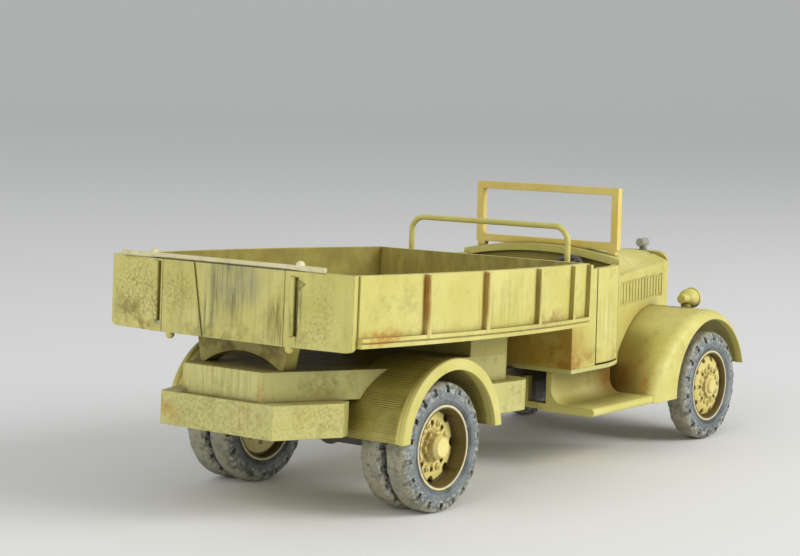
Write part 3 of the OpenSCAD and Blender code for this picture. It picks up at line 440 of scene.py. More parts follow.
def patches(*rows, both_sides=False):
    """A tint that lays weather and painted shade on chosen places. A row: middle, size, pattern, colour, strength."""

    def tint(tree, place, base):
        seat = place
        if both_sides:
            parts = axes(tree, place)
            right = times(tree, calc(tree, "ABSOLUTE", parts["Y"]), -1.0)
            seat = add_node(tree, "CombineXYZ", {"X": parts["X"], "Y": right, "Z": parts["Z"]}).outputs[0]
        patterns = {
            "blot": ease(tree, noise(tree, place, 620, 6.0, 0.68), 0.40, 0.62),
            "streak": ease(tree, noise(tree, stretched(tree, place, (1.0, 1.0, 0.05)), 2400, 5.0, 0.7), 0.42, 0.64),
            "speck": ease(tree, noise(tree, place, 3600, 3.0, 0.6), 0.38, 0.74),
            # an even tone, used for wash and for painted shade
            "wash_and_shade": ease(tree, noise(tree, place, 260, 3.0), 0.25, 0.55, 0.55, 1.0)}
        for middle_at, size, pattern, tone, strength in rows:
            mask = times(tree, spot(tree, seat, middle_at, size), patterns[pattern])
            base = lay(tree, base, tone, mask, strength)
        return base

    return tint


rust, orange, brown = colour(150, 106, 20), colour(194, 128, 14), colour(118, 80, 8)
soot_and_shadow, grey, olive = colour(62, 58, 40), colour(150, 147, 124), colour(120, 110, 40)
ochre_shade = colour(168, 122, 14)
print("weather patterns ready")

# %% [markdown]
# The cab, the hood and the front fenders have rust low down and where they meet, and the hood's rear corner has an
# orange stain. The ochre, brown and olive washes there are painted shade on low and rearward faces, warm with light
# bounced off the yellow paint. The places were read from the photograph, one row for each.

# %% Cab, hood and front fenders
cab_rust_and_shade = patches(
    ((25.7, -9.5, 11.5), (1.5, 5, 3.2), "blot", rust, 0.75), ((27.5, -11, 11.2), (5, 2, 1.8), "blot", rust, 0.7),
    ((25.7, 0, 13), (1.5, 9, 5), "streak", brown, 0.4), ((39.5, -8.5, 19.6), (2.4, 3, 2.2), "blot", orange, 0.8),
    ((36, -11, 11), (4, 2, 1.5), "blot", rust, 0.5), ((33, -11, 14), (4, 2, 6), "streak", olive, 0.35),
    # the two ochre rows are painted warm shade on the cab's back and low sides, under the bed
    ((25.7, -6, 13), (1.5, 9, 6), "wash_and_shade", ochre_shade, 0.7), ((27, -10.5, 12), (3.5, 2, 4.5), "wash_and_shade", ochre_shade, 0.6),
    both_sides=True)
cab_paint = paint_material("cab_paint", {"Stains": 0.35, "Rusting": 0.40, "Washing": 0.2, "Shading": 0.5},
                           tint=cab_rust_and_shade)
dress(cab_paint, "door_left", "door_right", "cab_back", "cowl")
hood_stains_and_shade = patches(
    ((41, -7.2, 18.8), (2.6, 2, 1.8), "blot", orange, 0.8), ((49, -6, 17), (8, 2.5, 2.5), "streak", olive, 0.25),
    # the ochre row is painted warm shade low on the hood's sides
    ((49, -6, 13.5), (9, 3, 3), "wash_and_shade", ochre_shade, 0.35), both_sides=True)
hood_paint = paint_material("hood_paint", {"Stains": 0.40, "Rusting": 0.35, "Washing": 0.0, "Shading": 0.1},
                            tint=hood_stains_and_shade)
dress(hood_paint, "hood")
fender_rust_and_shade = patches(
    # the brown wash at the fender's foot and the olive ones on its rear sweep and on the running board are painted
    # shadow of the fender
    ((39.5, -7.6, 7.6), (6.5, 6, 8.5), "wash_and_shade", brown, 0.95), ((40.2, -12.2, 7.6), (2.5, 1.2, 1.8), "blot", orange, 0.7),
    ((42, -8.4, 12), (4, 4, 5), "wash_and_shade", olive, 0.6), ((33, -10.5, 6.6), (9, 3, 1), "wash_and_shade", olive, 0.5),
    ((41, -9, 9.5), (3, 3, 3), "blot", rust, 0.6), ((52, -9, 15), (8, 5, 2), "speck", olive, 0.2),
    both_sides=True)
fender_paint = paint_material("fender_paint", {"Stains": 0.35, "Rusting": 0.35}, tint=fender_rust_and_shade)
dress(fender_paint, "front_fender_left", "front_fender_right", "running_board_left", "running_board_right")
print("painted so far:", sorted(painted))

# %% [markdown]
# The tray and the box on it are the dirtiest pieces: they are speckled with olive and streaked from above. The bolsters
# carry the bed and sit in its shadow, which is painted on them as dark brown, soot and olive, with a little rust. Their
# paint is a little greyer than that of the cab.

# %% Tray and bolsters
tray_weather = patches(
    ((-16.5, 0, 9.5), (2, 11, 4), "speck", olive, 0.5), ((-12, -8, 9.5), (6, 4, 4), "speck", olive, 0.45),
    ((-16, 0, 12.5), (2, 8, 3), "streak", olive, 0.35), ((-16.6, 6, 8.8), (1.5, 2, 2), "blot", orange, 0.6),
    ((-16.2, -4.7, 12.3), (1, 0.7, 2.2), "blot", orange, 0.7), ((-16.2, 4.7, 12.3), (1, 0.7, 2.2), "blot", orange, 0.6),
    ((-16.3, 4.6, 11.4), (1.2, 0.9, 0.5), "blot", soot_and_shadow, 0.9), ((-16.7, -3.5, 9.6), (1.5, 3, 2), "streak", rust, 0.35),
    ((-10, -7, 12.4), (5, 3, 2), "blot", olive, 0.5), ((20, -9, 9), (5, 2, 2.5), "speck", olive, 0.4))
tray_paint = paint_material("tray_paint", {"Stains": 0.55, "Rusting": 0.50, "Paint": (202, 196, 118),
                                           "Faded": (212, 206, 132)}, tint=tray_weather)
dress(tray_paint, "chassis_tray", "chassis_box", "cab_floor")
bolster_rust_and_shade = patches(
    # a rust blot; the brown, soot and olive rows are painted shade under the bed
    ((-13.4, 0, 15), (3, 8, 2.5), "blot", brown, 0.5), ((-13.4, -3, 14.6), (2, 2, 1.5), "blot", rust, 0.6),
    ((-13.4, 0, 16), (3, 9, 1.6), "blot", soot_and_shadow, 0.5), ((-13.4, 0, 14.4), (3, 8, 2.4), "wash_and_shade", olive, 0.45))
bolster_paint = paint_material("bolster_paint", {"Stains": 0.6, "Rusting": 0.5, "Paint": (190, 180, 92),
                                                 "Faded": (200, 190, 106), "Shading": 0.2}, tint=bolster_rust_and_shade)
dress(bolster_paint, "rear_bolster", "front_bolster")
print("painted so far:", sorted(painted))

# %% [markdown]
# ## The bed
#
# The bed's boards are sand outside and dull olive inside, partly wash and partly painted shade on the inner faces. One
# material can do both: a face looks inwards when its normal points towards the bed's middle, which a dot product tells.

# %% Bed paints


def bed_inner_olive_and_shade(tree, place, base):
    """Dull olive on the faces that look into the bed, partly wash and partly painted shade."""
    bed_middle = tuple(from_rear_axle(4, 0, 19))
    way_out = vector(tree, "NORMALIZE", vector(tree, "SUBTRACT", place, bed_middle))
    facing = add_node(tree, "NewGeometry").outputs["True Normal"]
    outwards = vector(tree, "DOT_PRODUCT", facing, way_out, out="Value")
    patchy = noise(tree, stretched(tree, place, (0.3, 1.0, 0.3)), 900, 5.0, 0.6)
    inner = mix(tree, ease(tree, patchy, 0.35, 0.7), colour(132, 116, 42), colour(164, 150, 70))
    return mix(tree, ease(tree, outwards, -0.02, -0.10, 0.0, 0.85), base, inner)


def bed_tint(placed):
    """Patches on the outside, olive wash and painted shade on the inside."""
    return lambda tree, place, base: bed_inner_olive_and_shade(tree, place, placed(tree, place, base))


print("bed tint ready")

# %% [markdown]
# The sides have rust on the rear faces of three ribs and an orange stain over the bead near the tail. The tailgate has
# grey runs down its middle. The swept corners are speckled, and dark beside their slots with soot and with painted
# shadow of the raised posts. Each gets its own rows.

# %% Sides, tailgate and corners
side_patches = patches(
    ((-11.5, -15, 17.7), (4.2, 3, 0.9), "blot", orange, 0.8),
    ((-13.5, -14.8, 17.2), (2.5, 3, 0.7), "blot", orange, 0.7),
    ((-6.05, -15.8, 20.8), (0.5, 2, 5), "wash_and_shade", rust, 0.95), ((8, -15.4, 19), (10, 3, 3.5), "streak", olive, 0.30),
    ((16, -15, 17), (8, 3, 1.2), "blot", rust, 0.55), ((-10, -15, 20), (5, 3, 3), "blot", olive, 0.25),
    ((2.95, -16, 20.8), (0.5, 2, 5), "wash_and_shade", rust, 0.9), ((12.55, -15.7, 20.6), (0.5, 2, 5), "wash_and_shade", rust, 0.6),
    both_sides=True)
gate_patches = patches(
    ((-16.3, -1.4, 22), (3, 4.6, 3.4), "wash_and_shade", grey, 0.5), ((-16.3, -0.8, 21.4), (3, 3.6, 4.6), "streak", soot_and_shadow, 0.75),
    ((-16.3, -2.6, 21.6), (3, 2.4, 3), "streak", grey, 0.6),
    ((-16.3, 1.8, 18.4), (3, 1.5, 3), "streak", soot_and_shadow, 0.6), ((-16.3, -6.6, 18.6), (3, 1.8, 3), "streak", olive, 0.9),
    ((-16.3, 5.5, 20.5), (3, 3, 3.4), "speck", olive, 0.6), ((-16.3, 0, 17), (3, 8, 1.2), "blot", olive, 0.5))
corner_patches = patches(
    ((-16, 10.8, 20), (3, 5, 5), "speck", olive, 0.7), ((-16, 12, 18), (3, 3, 2.5), "blot", olive, 0.6),
    # beside the slots, the soot rows are soot and painted shadow of the raised posts
    ((-16.2, 7.8, 17.3), (1.5, 0.8, 0.7), "blot", grey, 1.0), ((-16.2, 8.2, 18.5), (1.5, 1.0, 2.2), "speck", soot_and_shadow, 0.5),
    ((-16, 10, 16.8), (2, 3, 0.8), "blot", rust, 0.6), ((-16, -8.6, 19.6), (2, 0.9, 4), "streak", soot_and_shadow, 0.9),
    ((-16, -10.2, 17.6), (3, 3, 1.8), "speck", soot_and_shadow, 0.4), ((-16, -11, 20), (3, 3, 3.6), "speck", olive, 0.35))
side_paint = paint_material("side_paint", {"Stains": 0.30, "Rusting": 0.40, "Washing": 0.25, "Shading": 0.55,
                                           "Shade Paint": (122, 88, 16)}, tint=bed_tint(side_patches))
dress(side_paint, "bed_side_left", "bed_side_right", "bed_front_board")
gate_paint = paint_material("gate_paint", {"Stains": 0.40, "Run-off": 0.20, "Washing": 0.3, "Paint": (204, 194, 106),
                                           "Faded": (216, 208, 128)}, tint=bed_tint(gate_patches))
dress(gate_paint, "tailgate")
corner_paint = paint_material("corner_paint", {"Stains": 0.40, "Run-off": 0.10, "Paint": (208, 200, 108),
                                               "Faded": (222, 213, 130)}, tint=bed_tint(corner_patches))
dress(corner_paint, "tail_corner_left", "tail_corner_right")
print("painted so far:", len(painted))

# %% [markdown]
# The bed's floor is scribed into nine planks that run along the truck. The photograph doesn't show it, so this is how
# such beds usually are. Each plank could be a piece with its own material. One pattern does it all: each plank has its
# own tone, the joints are dark with wash, and the grain is noise drawn out along X.

# %% Bed floor
plank_count, floor_half = 9, 14.77
plank_width = 2 * floor_half / plank_count


def planks(tree, place, base):
    """Planks along X, each with its own tone."""
    across = calc(tree, "DIVIDE", axes(tree, place)["Y"], plank_width * MM)
    across = calc(tree, "ADD", across, plank_count / 2)
    number = calc(tree, "FLOOR", across)
    part = calc(tree, "SUBTRACT", across, number)
    tone = add_node(tree, "TexWhiteNoise", {"W": number}, noise_dimensions="1D").outputs["Value"]
    grain = noise(tree, stretched(tree, place, (0.06, 1.0, 1.0)), 2200, 5.0, 0.65)
    wood = mix(tree, times(tree, tone, 0.5), base, colour(160, 146, 70))
    wood = mix(tree, ease(tree, grain, 0.45, 0.7, 0.0, 0.5), wood, colour(96, 84, 32))
    joint = calc(tree, "MINIMUM", part, calc(tree, "SUBTRACT", 1.0, part))
    return mix(tree, ease(tree, joint, 0.05, 0.02), wood, colour(48, 40, 14))


floor_paint = paint_material("floor_paint", {"Paint": (132, 118, 48), "Faded": (150, 136, 62),
                                             "Stains": 0.6}, tint=planks)
dress(floor_paint, "bed_floor")
print("floor:", floor_paint.name)

# %% [markdown]
# ## Rear fenders
#
# The rear fenders were built up in layers, and the layers still show as fine level lines on their round backs, darker
# between them. The lip is smooth. Steps could be modelled, with thousands of faces, but they are a few hundredths of a
# millimetre deep. A sine of the height gives the same look as a bump and as a darker colour, wash and painted shade in
# the steps, and it is faded out on the lip and on flat sides. The round back is also turned olive, with wash and with
# painted shade of the bed above it.

# %% Layered paint
layer_height, layer_depth = 0.18 * MM, 0.02 * MM
lip_inner, lip_outer = 13.2 * MM, 13.5 * MM


def layers(tree, place):
    """Level lines, uneven in strength, and a mask of the round back inside the lip."""
    parts = axes(tree, place)
    wobble = noise(tree, place, 70, 2.0)
    phase = calc(tree, "ADD", times(tree, parts["Z"], math.tau / layer_height),
                 times(tree, wobble, 4.0))
    line = calc(tree, "ADD", times(tree, calc(tree, "SINE", phase), 0.5), 0.5)
    strength = noise(tree, stretched(tree, place, (0.02, 0.02, 1.0)), 1400, 3.0, 0.7)
    on_back = ease(tree, calc(tree, "ABSOLUTE", parts["Y"]), lip_outer, lip_inner)
    return times(tree, line, ease(tree, strength, 0.30, 0.60, 0.25, 1.0)), on_back


def layer_lines(tree, place):
    """The layers as a relief."""
    line, on_back = layers(tree, place)
    return times(tree, line, on_back), -layer_depth


def layer_olive_and_shade(tree, place, base):
    """Olive on the round back, wash and painted shade of the bed above it, darkest between the layers."""
    line, on_back = layers(tree, place)
    patchy = noise(tree, place, 330, 5.0, 0.6)
    back = mix(tree, ease(tree, patchy, 0.3, 0.7, 0.8, 0.45), base, colour(130, 116, 32))
    back = lay(tree, back, colour(76, 64, 8), line, 0.6)
    return mix(tree, on_back, base, back)


layered_paint = paint_material("layered_paint", {"Stains": 0.30, "Rusting": 0.30}, extra_height=layer_lines,
                               tint=layer_olive_and_shade)
dress(layered_paint, "rear_fender_left", "rear_fender_right")
print("layered:", layered_paint.name)

# %% [markdown]
# ## Wheels and tyres
#
# Seen from the side a wheel is a set of rings, so its weather is best told by the distance from the axle. A picture
# could be wrapped round it, but a mask for each ring is simpler and never stretches. The same helper serves all wheels,
# because it takes the nearer of the two axles.

# %% Rings round the axles


def from_axles(tree, place):
    """How far a point is from the nearer axle, seen from the side."""
    flat = vector(tree, "MULTIPLY", place, (1, 0, 1))
    reach = [vector(tree, "DISTANCE", flat, (axle.x, 0, axle.z), out="Value") for axle in (rear_axle, front_axle)]
    return calc(tree, "MINIMUM", *reach)


def ring(tree, reach, inner, outer, soft=0.12):
    """A mask that is 1 between two distances from the axle, in millimetres."""
    return times(tree, ease(tree, reach, (inner - soft) * MM, inner * MM),
                 ease(tree, reach, (outer + soft) * MM, outer * MM))


print("rings ready")

# %% [markdown]
# A wheel's disc has dark ovals round its holes and a dark brown barrel, both painted shade, brown grease round the hub,
# and a rim scuffed white. The holes stand an eighth of a turn apart, so a cosine of eight times the angle finds them.
# The rear discs sit deep in their rims, in shade, yet in the photograph they are as bright as the front ones. So they
# get a lighter paint, painted light that offsets the shade, with the same weather.

# %% Wheel paints
hole_count = 8


def hole_shade(tree, place, reach):
    """Painted shade: dark ovals round the holes of a disc."""
    masks = []
    for axle in (rear_axle, front_axle):
        parts = axes(tree, vector(tree, "SUBTRACT", place, tuple(axle)))
        turns = times(tree, calc(tree, "ARCTAN2", parts["Z"], parts["X"]), float(hole_count))
        # only the wheels on this axle
        near = ease(tree, calc(tree, "ABSOLUTE", parts["X"]), 8 * MM, 7 * MM)
        masks.append(times(tree, near, ease(tree, calc(tree, "COSINE", turns), 0.35, 0.8)))
    return times(tree, calc(tree, "ADD", *masks), ring(tree, reach, 1.75, 2.42, 0.1))


def wheel_grease_and_shade(tree, place, base):
    """Painted shade round the holes and in the barrel, grease round the hub, scuffs on the rim."""
    reach = from_axles(tree, place)
    grain = noise(tree, place, 2400, 5.0, 0.7)
    # painted shade round the holes
    base = lay(tree, base, colour(112, 74, 20), hole_shade(tree, place, reach), 0.65)
    # painted shade in the deep barrel
    base = lay(tree, base, colour(72, 52, 14), ring(tree, reach, 3.34, 3.76, 0.06), 0.9)
    base = lay(tree, base, colour(132, 96, 30), ring(tree, reach, 1.2, 1.62), ease(tree, grain, 0.4, 0.6, 0.0, 0.7))
    return lay(tree, base, colour(206, 202, 186), ring(tree, reach, 3.83, 4.1, 0.03), ease(tree, grain, 0.40, 0.56))


wheel_weather = {"Rusting": 0.5, "Stains": 0.2, "Washing": 0.3, "Shading": 0.05, "Rust": (170, 112, 40),
                 "Wash": (84, 62, 20)}
wheel_paint = paint_material("wheel_paint", {"Paint": (222, 203, 114), "Faded": (231, 216, 140),
                                             **wheel_weather}, tint=wheel_grease_and_shade)
dress(wheel_paint, "wheel_front_left", "wheel_front_right")
# a lighter copy of the wheel paint: painted light that offsets the shade on the rear discs
rear_wheel_lightened = paint_material("rear_wheel_lightened", {"Paint": (240, 222, 134), "Faded": (246, 232, 160),
                                                       **wheel_weather}, tint=wheel_grease_and_shade)
dress(rear_wheel_lightened, "wheel_rear_left", "wheel_rear_right")
nut_paint = paint_material("nut_paint", {"Paint": (228, 212, 128), "Faded": (238, 226, 154), "Stains": 0.15,
                                         "Washing": 0.15, "Shading": 0.0})
print("wheels:", wheel_paint.name, rear_wheel_lightened.name)

# %% [markdown]
# The tyres are slate grey with a dark bead, blue-grey sidewalls, a rubbed shoulder and a khaki, dusty tread. These are
# rings again, broken up by noise so that no ring has a clean border.

# %% Tyre paint


def tyre_dust(tree, place, base):
    """A dark bead, a dusty tread, a rubbed shoulder, then pale clouds and dark specks."""
    reach = from_axles(tree, place)
    grain = noise(tree, place, 2000, 6.0, 0.75)
    clouds = noise(tree, place, 420, 4.0, 0.6)
    base = lay(tree, base, colour(38, 40, 42), ring(tree, reach, 3.9, 4.35, 0.15), 0.75)
    dust = ease(tree, clouds, 0.30, 0.62, 0.25, 0.95)
    base = lay(tree, base, colour(160, 150, 114), ring(tree, reach, 5.75, 6.3), dust)
    rubbed = times(tree, ring(tree, reach, 5.0, 5.95, 0.2), ease(tree, grain, 0.48, 0.60))
    base = lay(tree, base, colour(196, 194, 180), rubbed, 0.8)
    base = mix(tree, ease(tree, clouds, 0.42, 0.62, 0.0, 0.3), base, colour(152, 160, 160))
    return lay(tree, base, colour(54, 60, 64), ease(tree, grain, 0.47, 0.36), 0.65)


tyre_paint = paint_material("tyre_paint", {
    "Paint": (104, 112, 112), "Faded": (126, 134, 132), "Stain": (96, 98, 94),
    "Wash": (24, 26, 28), "Shade Paint": (50, 50, 46), "Edge Paint": (204, 204, 194),
    "Rusting": 0.0, "Stains": 0.5, "Rubbing": 0.8, "Shading": 0.6}, grain=0.03 * MM, tint=tyre_dust)
dress(tyre_paint, "tyre_front_left", "tyre_front_right", "tyres_rear_left", "tyres_rear_right")
print("tyres:", tyre_paint.name)

# %% [markdown]
# ## Other paints
#
# The windscreen frame is a warmer yellow, the rail on the tailgate a bare cream rod, the dashboard a dull olive, the
# bench brown and the frame under the truck a dark grey. Each could have a graph of its own. They use the same group
# with other colours, so they age as the rest does.

# %% Windscreen, rail, inside and chassis
screen_paint = paint_material("screen_paint", {
    "Paint": (230, 203, 102), "Faded": (237, 217, 132), "Rusting": 0.15, "Stains": 0.2, "Shading": 0.3})
dress(screen_paint, "windscreen_frame")
cream_paint = paint_material("cream_paint", {
    "Paint": (222, 212, 160), "Faded": (236, 228, 186), "Rusting": 0.1, "Stains": 0.35, "Shading": 0.3})
dress(cream_paint, "tailgate_rail")
chassis_paint = paint_material("chassis_paint", {
    "Paint": (92, 90, 82), "Faded": (112, 108, 94), "Stain": (70, 64, 50), "Wash": (26, 24, 20),
    "Shade Paint": (40, 36, 28), "Edge Paint": (150, 146, 128)})
dress(chassis_paint, "frame_rails", "rear_axle", "front_axle", "drive_line", "steering_wheel")
steel_paint = paint_material("steel_paint", {
    "Paint": (150, 152, 144), "Faded": (172, 174, 164), "Stain": (110, 108, 92), "Rusting": 0.1,
    "Shading": 0.2})
dress(steel_paint, "radiator_cap")
inside_paint = paint_material("inside_paint", {
    "Paint": (150, 140, 62), "Faded": (166, 156, 78), "Stains": 0.5})
dress(inside_paint, "dashboard")
seat_paint = paint_material("seat_paint", {
    "Paint": (104, 82, 52), "Faded": (128, 104, 70), "Stain": (70, 54, 36), "Wash": (34, 26, 16),
    "Shade Paint": (52, 40, 22), "Edge Paint": (160, 136, 98), "Rusting": 0.0})
dress(seat_paint, "bench_seat")
print("materials:", len(painted))

# %% [markdown]
# ## Tools for modelling
#
# The pieces below are made as by hand: a primitive is added, opened in edit mode, and shaped by picking faces or edges
# and running operators on them. Picking by hand is a click. In a script it is a test on each face's middle and normal,
# so one helper does that. A finished piece keeps its place in its mesh, with its object at the origin, so that patterns
# on Object coordinates stay where they are. Most of the small shapes here are faces inset step by step, in or out.

# %% Modelling helpers


def open_piece(piece, kind="FACE"):
    """Opens one piece in edit mode with nothing picked."""
    bpy.ops.object.select_all(action="DESELECT")
    bpy.context.view_layer.objects.active = piece
    piece.select_set(True)
    bpy.ops.object.transform_apply(location=True, rotation=True, scale=True)
    bpy.ops.object.mode_set(mode="EDIT")
    bpy.ops.mesh.select_mode(type=kind)
    bpy.ops.mesh.select_all(action="DESELECT")


def pick(piece, kind, test):
    """Picks the faces or edges whose middle (and normal) pass a test. Returns how many."""
    bpy.ops.mesh.select_mode(type=kind)
    bpy.ops.mesh.select_all(action="DESELECT")
    made = bmesh.from_edit_mesh(piece.data)
    made.normal_update()
    picked = 0
    if kind == "FACE":
        for face in made.faces:
            if test(face.calc_center_median(), face.normal):
                face.select_set(True)
                picked += 1
    else:
        for edge in made.edges:
            if test((edge.verts[0].co + edge.verts[1].co) / 2, edge):
                edge.select_set(True)
                picked += 1
    made.select_flush_mode()
    bmesh.update_edit_mesh(piece.data)
    return picked


def close_piece(piece, angle=35):
    """Leaves edit mode and smooths all but the sharp edges."""
    bpy.ops.mesh.select_all(action="SELECT")
    bpy.ops.mesh.normals_make_consistent(inside=False)
    bpy.ops.object.mode_set(mode="OBJECT")
    bpy.ops.object.shade_smooth_by_angle(angle=math.radians(angle))


def new_piece(name, material):
    """Names the primitive that was just added, and gives it a finish."""
    piece = bpy.context.object
    piece.name = piece.data.name = name
    piece.data.materials.clear()
    piece.data.materials.append(material)
    return piece


def inset_steps(*steps, **settings):
    """Insets the picked faces again and again. A step: how far inwards and how far out, in millimetres."""
    for inwards, raised in steps:
        bpy.ops.mesh.inset(thickness=inwards * MM, depth=raised * MM, **settings)


print("modelling helpers ready")

# %% [markdown]
# ## The tyres
#
# Six tyres of one size, slate grey, with a row of short notches round each sidewall and a worn, dusty tread. The solids
# have them as plain rings. Here a tyre starts as an open band, the tread. Both its edges are extruded together and
# scaled, step by step, down the shoulders and the sidewalls to the beads, and the two beads are bridged. A first inset
# of the picked faces raises a rim and a second one presses the notch in. Then the tyre is copied to its six places.

# %% One tyre
tyre_steps, notch_count = 108, 18
notch_inner, notch_outer, notch_wall = 5.10 * MM, 5.85 * MM, 1.05 * MM
notch_turn = 2 * 360 / tyre_steps
tread_r, tread_half = 6.1 * MM, 0.62 * MM
bpy.ops.object.select_all(action="DESELECT")
bpy.ops.mesh.primitive_cylinder_add(vertices=tyre_steps, radius=tread_r, depth=2 * tread_half, end_fill_type="NOTHING",
                                    rotation=(math.pi / 2, 0, 0))
tyre = new_piece("tyre", tyre_paint)
open_piece(tyre, "EDGE")
bpy.ops.mesh.select_non_manifold()
radius, half = tread_r, tread_half
# each step goes to a radius and a half width, in millimetres
for next_radius, next_half in ((6.05, 0.82), (5.93, 0.99), (5.74, 1.12), (5.56, 1.19), (5.08, 1.25), (4.80, 1.25),
                               (4.40, 1.20), (4.28, 1.13), (4.18, 1.15), (4.02, 1.04)):
    bpy.ops.mesh.extrude_region_move()
    bpy.ops.transform.resize(value=(next_radius * MM / radius, next_half * MM / half, next_radius * MM / radius),
                             center_override=(0, 0, 0))
    radius, half = next_radius * MM, next_half * MM
bpy.ops.mesh.bridge_edge_loops()


def wheel_angle(place):
    """Angle round the axle, in degrees from 0 to 360."""
    return math.degrees(math.atan2(place.z, place.x)) % 360


def in_notch(place, normal):
    """Faces of the notches on each shoulder, set half a step apart on the two sides."""
    reach, step = math.hypot(place.x, place.z), 360 / notch_count
    turn = (wheel_angle(place) + (0 if place.y > 0 else step / 2)) % step
    return notch_inner < reach < notch_outer and abs(place.y) > notch_wall and turn < notch_turn


notch_faces = pick(tyre, "FACE", in_notch)
inset_steps((0.06, 0.06), (0.05, -0.26))
close_piece(tyre, 40)
print("tyre:", len(tyre.data.polygons), "faces,", notch_faces, "of them pressed in")

# %% [markdown]
# The box of each solid tyre says where its copies go. A front wheel carries one tyre and a rear one two, side by side
# with a gap between them. Twins are turned by different amounts, so that their notches don't line up.

# %% Tyres on their wheels
tyre_half, first_turn, twin_turn = 1.25 * MM, 7, 11


def copy_piece(source, name, matrix):
    """A copy with its own mesh, moved by a matrix."""
    piece = source.copy()
    piece.data = source.data.copy()
    piece.name = piece.data.name = name
    piece.data.transform(matrix)
    if matrix.determinant() < 0:
        piece.data.flip_normals()
    bpy.context.scene.collection.objects.link(piece)
    return piece


tyre_places = []
for body, node in (("front_left_wheel", "tyre_front_left"), ("front_right_wheel", "tyre_front_right"),
                   ("rear_left_wheels", "tyres_rear_left"), ("rear_right_wheels", "tyres_rear_right")):
    low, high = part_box(node)
    centre = (low + high) / 2
    width = high.y - low.y
    offsets = [0] if width < 3 * tyre_half else [tyre_half - width / 2, width / 2 - tyre_half]
    for number, offset in enumerate(offsets):
        turn = Matrix.Rotation(math.radians(first_turn + twin_turn * number), 4, "Y")
        piece = copy_piece(tyre, node + ("_inner" if offset * centre.y < 0 else "_outer") + "_tread",
                           Matrix.Translation(centre + Vector((0, offset, 0))) @ turn)
        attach(piece, body)
        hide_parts(node)
        tyre_places.append(piece.name)
bpy.data.objects.remove(tyre)
print("tyres:", tyre_places)

# %% [markdown]
# ## The wheel nuts
#
# Each disc has a ring of eight nuts, between the holes that the solids have. A nut starts as a cylinder with six sides.
# Its outer face is inset and raised for the chamfer, then inset again and pulled out for the end of the stud. Only one
# nut is modelled.

# %% One nut
nut_radius, nut_height, stud_height = 0.32 * MM, 0.24 * MM, 0.10 * MM
bpy.ops.object.select_all(action="DESELECT")
bpy.ops.mesh.primitive_cylinder_add(vertices=6, radius=nut_radius, depth=nut_height, rotation=(math.pi / 2, 0, 0))
nut = new_piece("nut", nut_paint)
open_piece(nut)
pick(nut, "FACE", lambda place, normal: normal.y < -0.9)
inset_steps((0.05, 0.03), (0.09, 0))
bpy.ops.mesh.extrude_region_move(TRANSFORM_OT_translate={"value": (0, -stud_height, 0)})
inset_steps((0.03, 0.02))
close_piece(nut, 30)
print("nut:", len(nut.data.polygons), "faces")

# %% [markdown]
# The copies are turned round the axle in steps of an eighth, half a step away from the holes. The nut looks to the
# truck's right, so for the left wheels it is first turned about. The eight are joined, because they turn with one
# wheel.

# %% Nuts on their wheels
nut_seat = 0.08


def join_pieces(name, pieces):
    """Makes several pieces one."""
    bpy.ops.object.select_all(action="DESELECT")
    for piece in pieces:
        piece.select_set(True)
    bpy.context.view_layer.objects.active = pieces[0]
    bpy.ops.object.join()
    pieces[0].name = pieces[0].data.name = name
    return pieces[0]


nut_rings = []
for body, axle, nut_ring, disc_face in (
        ("front_left_wheel", front_axle, 1.9, 12.75), ("front_right_wheel", front_axle, 1.9, 12.75),
        ("rear_left_wheels", rear_axle, 2.19, 12.05), ("rear_right_wheels", rear_axle, 2.19, 12.05)):
    side = 1 if "left" in body else -1
    facing = Matrix.Rotation(math.pi if side > 0 else 0, 4, "Z")
    hub = Matrix.Translation((axle.x, side * (disc_face + nut_seat) * MM, axle.z))
    copies = []
    for number in range(hole_count):
        turn = Matrix.Rotation(math.tau * (number + 0.5) / hole_count, 4, "Y")
        out = Matrix.Translation((nut_ring * MM, 0, 0))
        copies.append(copy_piece(nut, f"nut_{number}", hub @ turn @ out @ facing))
    piece = join_pieces(body.replace("wheels", "wheel") + "_nuts", copies)
    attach(piece, body)
    nut_rings.append(piece.name)
bpy.data.objects.remove(nut)
print("rings of nuts:", nut_rings)

# %% [markdown]
# ## The bed's planks
#
# The floor of the bed is one board with scribed joints. It starts as a cube as long and wide as the bed. Bisect planes
# across it give rows of points, and each row's ends are scaled inwards to follow the bow of the sides. Bisect planes
# along it mark the joints. Later their edges are bevelled into narrow strips, and the middle edge of each strip is
# pushed down, which leaves a V-shaped groove. At the end the whole floor is tilted as the bed is.

# %% Planks
# ends, heights and the bow of the sides in millimetres from the rear axle
floor_back, floor_front, floor_low, floor_top = -14.87, 23.77, 16.3, 17.1
bow_middle, bow_radius = 1.25, 126.6
tilt, tilt_height = math.radians(2), 9.05
row_count, groove_half, groove_depth = 18, 0.10 * MM, 0.14 * MM
bpy.ops.object.select_all(action="DESELECT")
bpy.ops.mesh.primitive_cube_add(
    size=1, location=from_rear_axle((floor_back + floor_front) / 2, 0, (floor_low + floor_top) / 2),
    scale=((floor_front - floor_back) * MM, 2 * floor_half * MM, (floor_top - floor_low) * MM))
floor = new_piece("bed_planks", floor_paint)
open_piece(floor, "VERT")
rows = [floor_back + (floor_front - floor_back) * row / row_count for row in range(row_count + 1)]
for row in rows[1:-1]:
    bpy.ops.mesh.select_all(action="SELECT")
    bpy.ops.mesh.bisect(plane_co=(rear_axle.x + row * MM, 0, 0), plane_no=(1, 0, 0))
for row in rows:
    sag = bow_radius - math.sqrt(bow_radius ** 2 - (row - bow_middle) ** 2)
    pick(floor, "EDGE", lambda place, edge: abs(place.x - rear_axle.x - row * MM) < 0.1 * MM
         and abs(place.y) > (floor_half - 0.1) * MM)
    bpy.ops.transform.resize(value=(1, (floor_half - sag) / floor_half, 1), center_override=(0, 0, 0))
joints = [(number - plank_count / 2) * plank_width * MM for number in range(1, plank_count)]
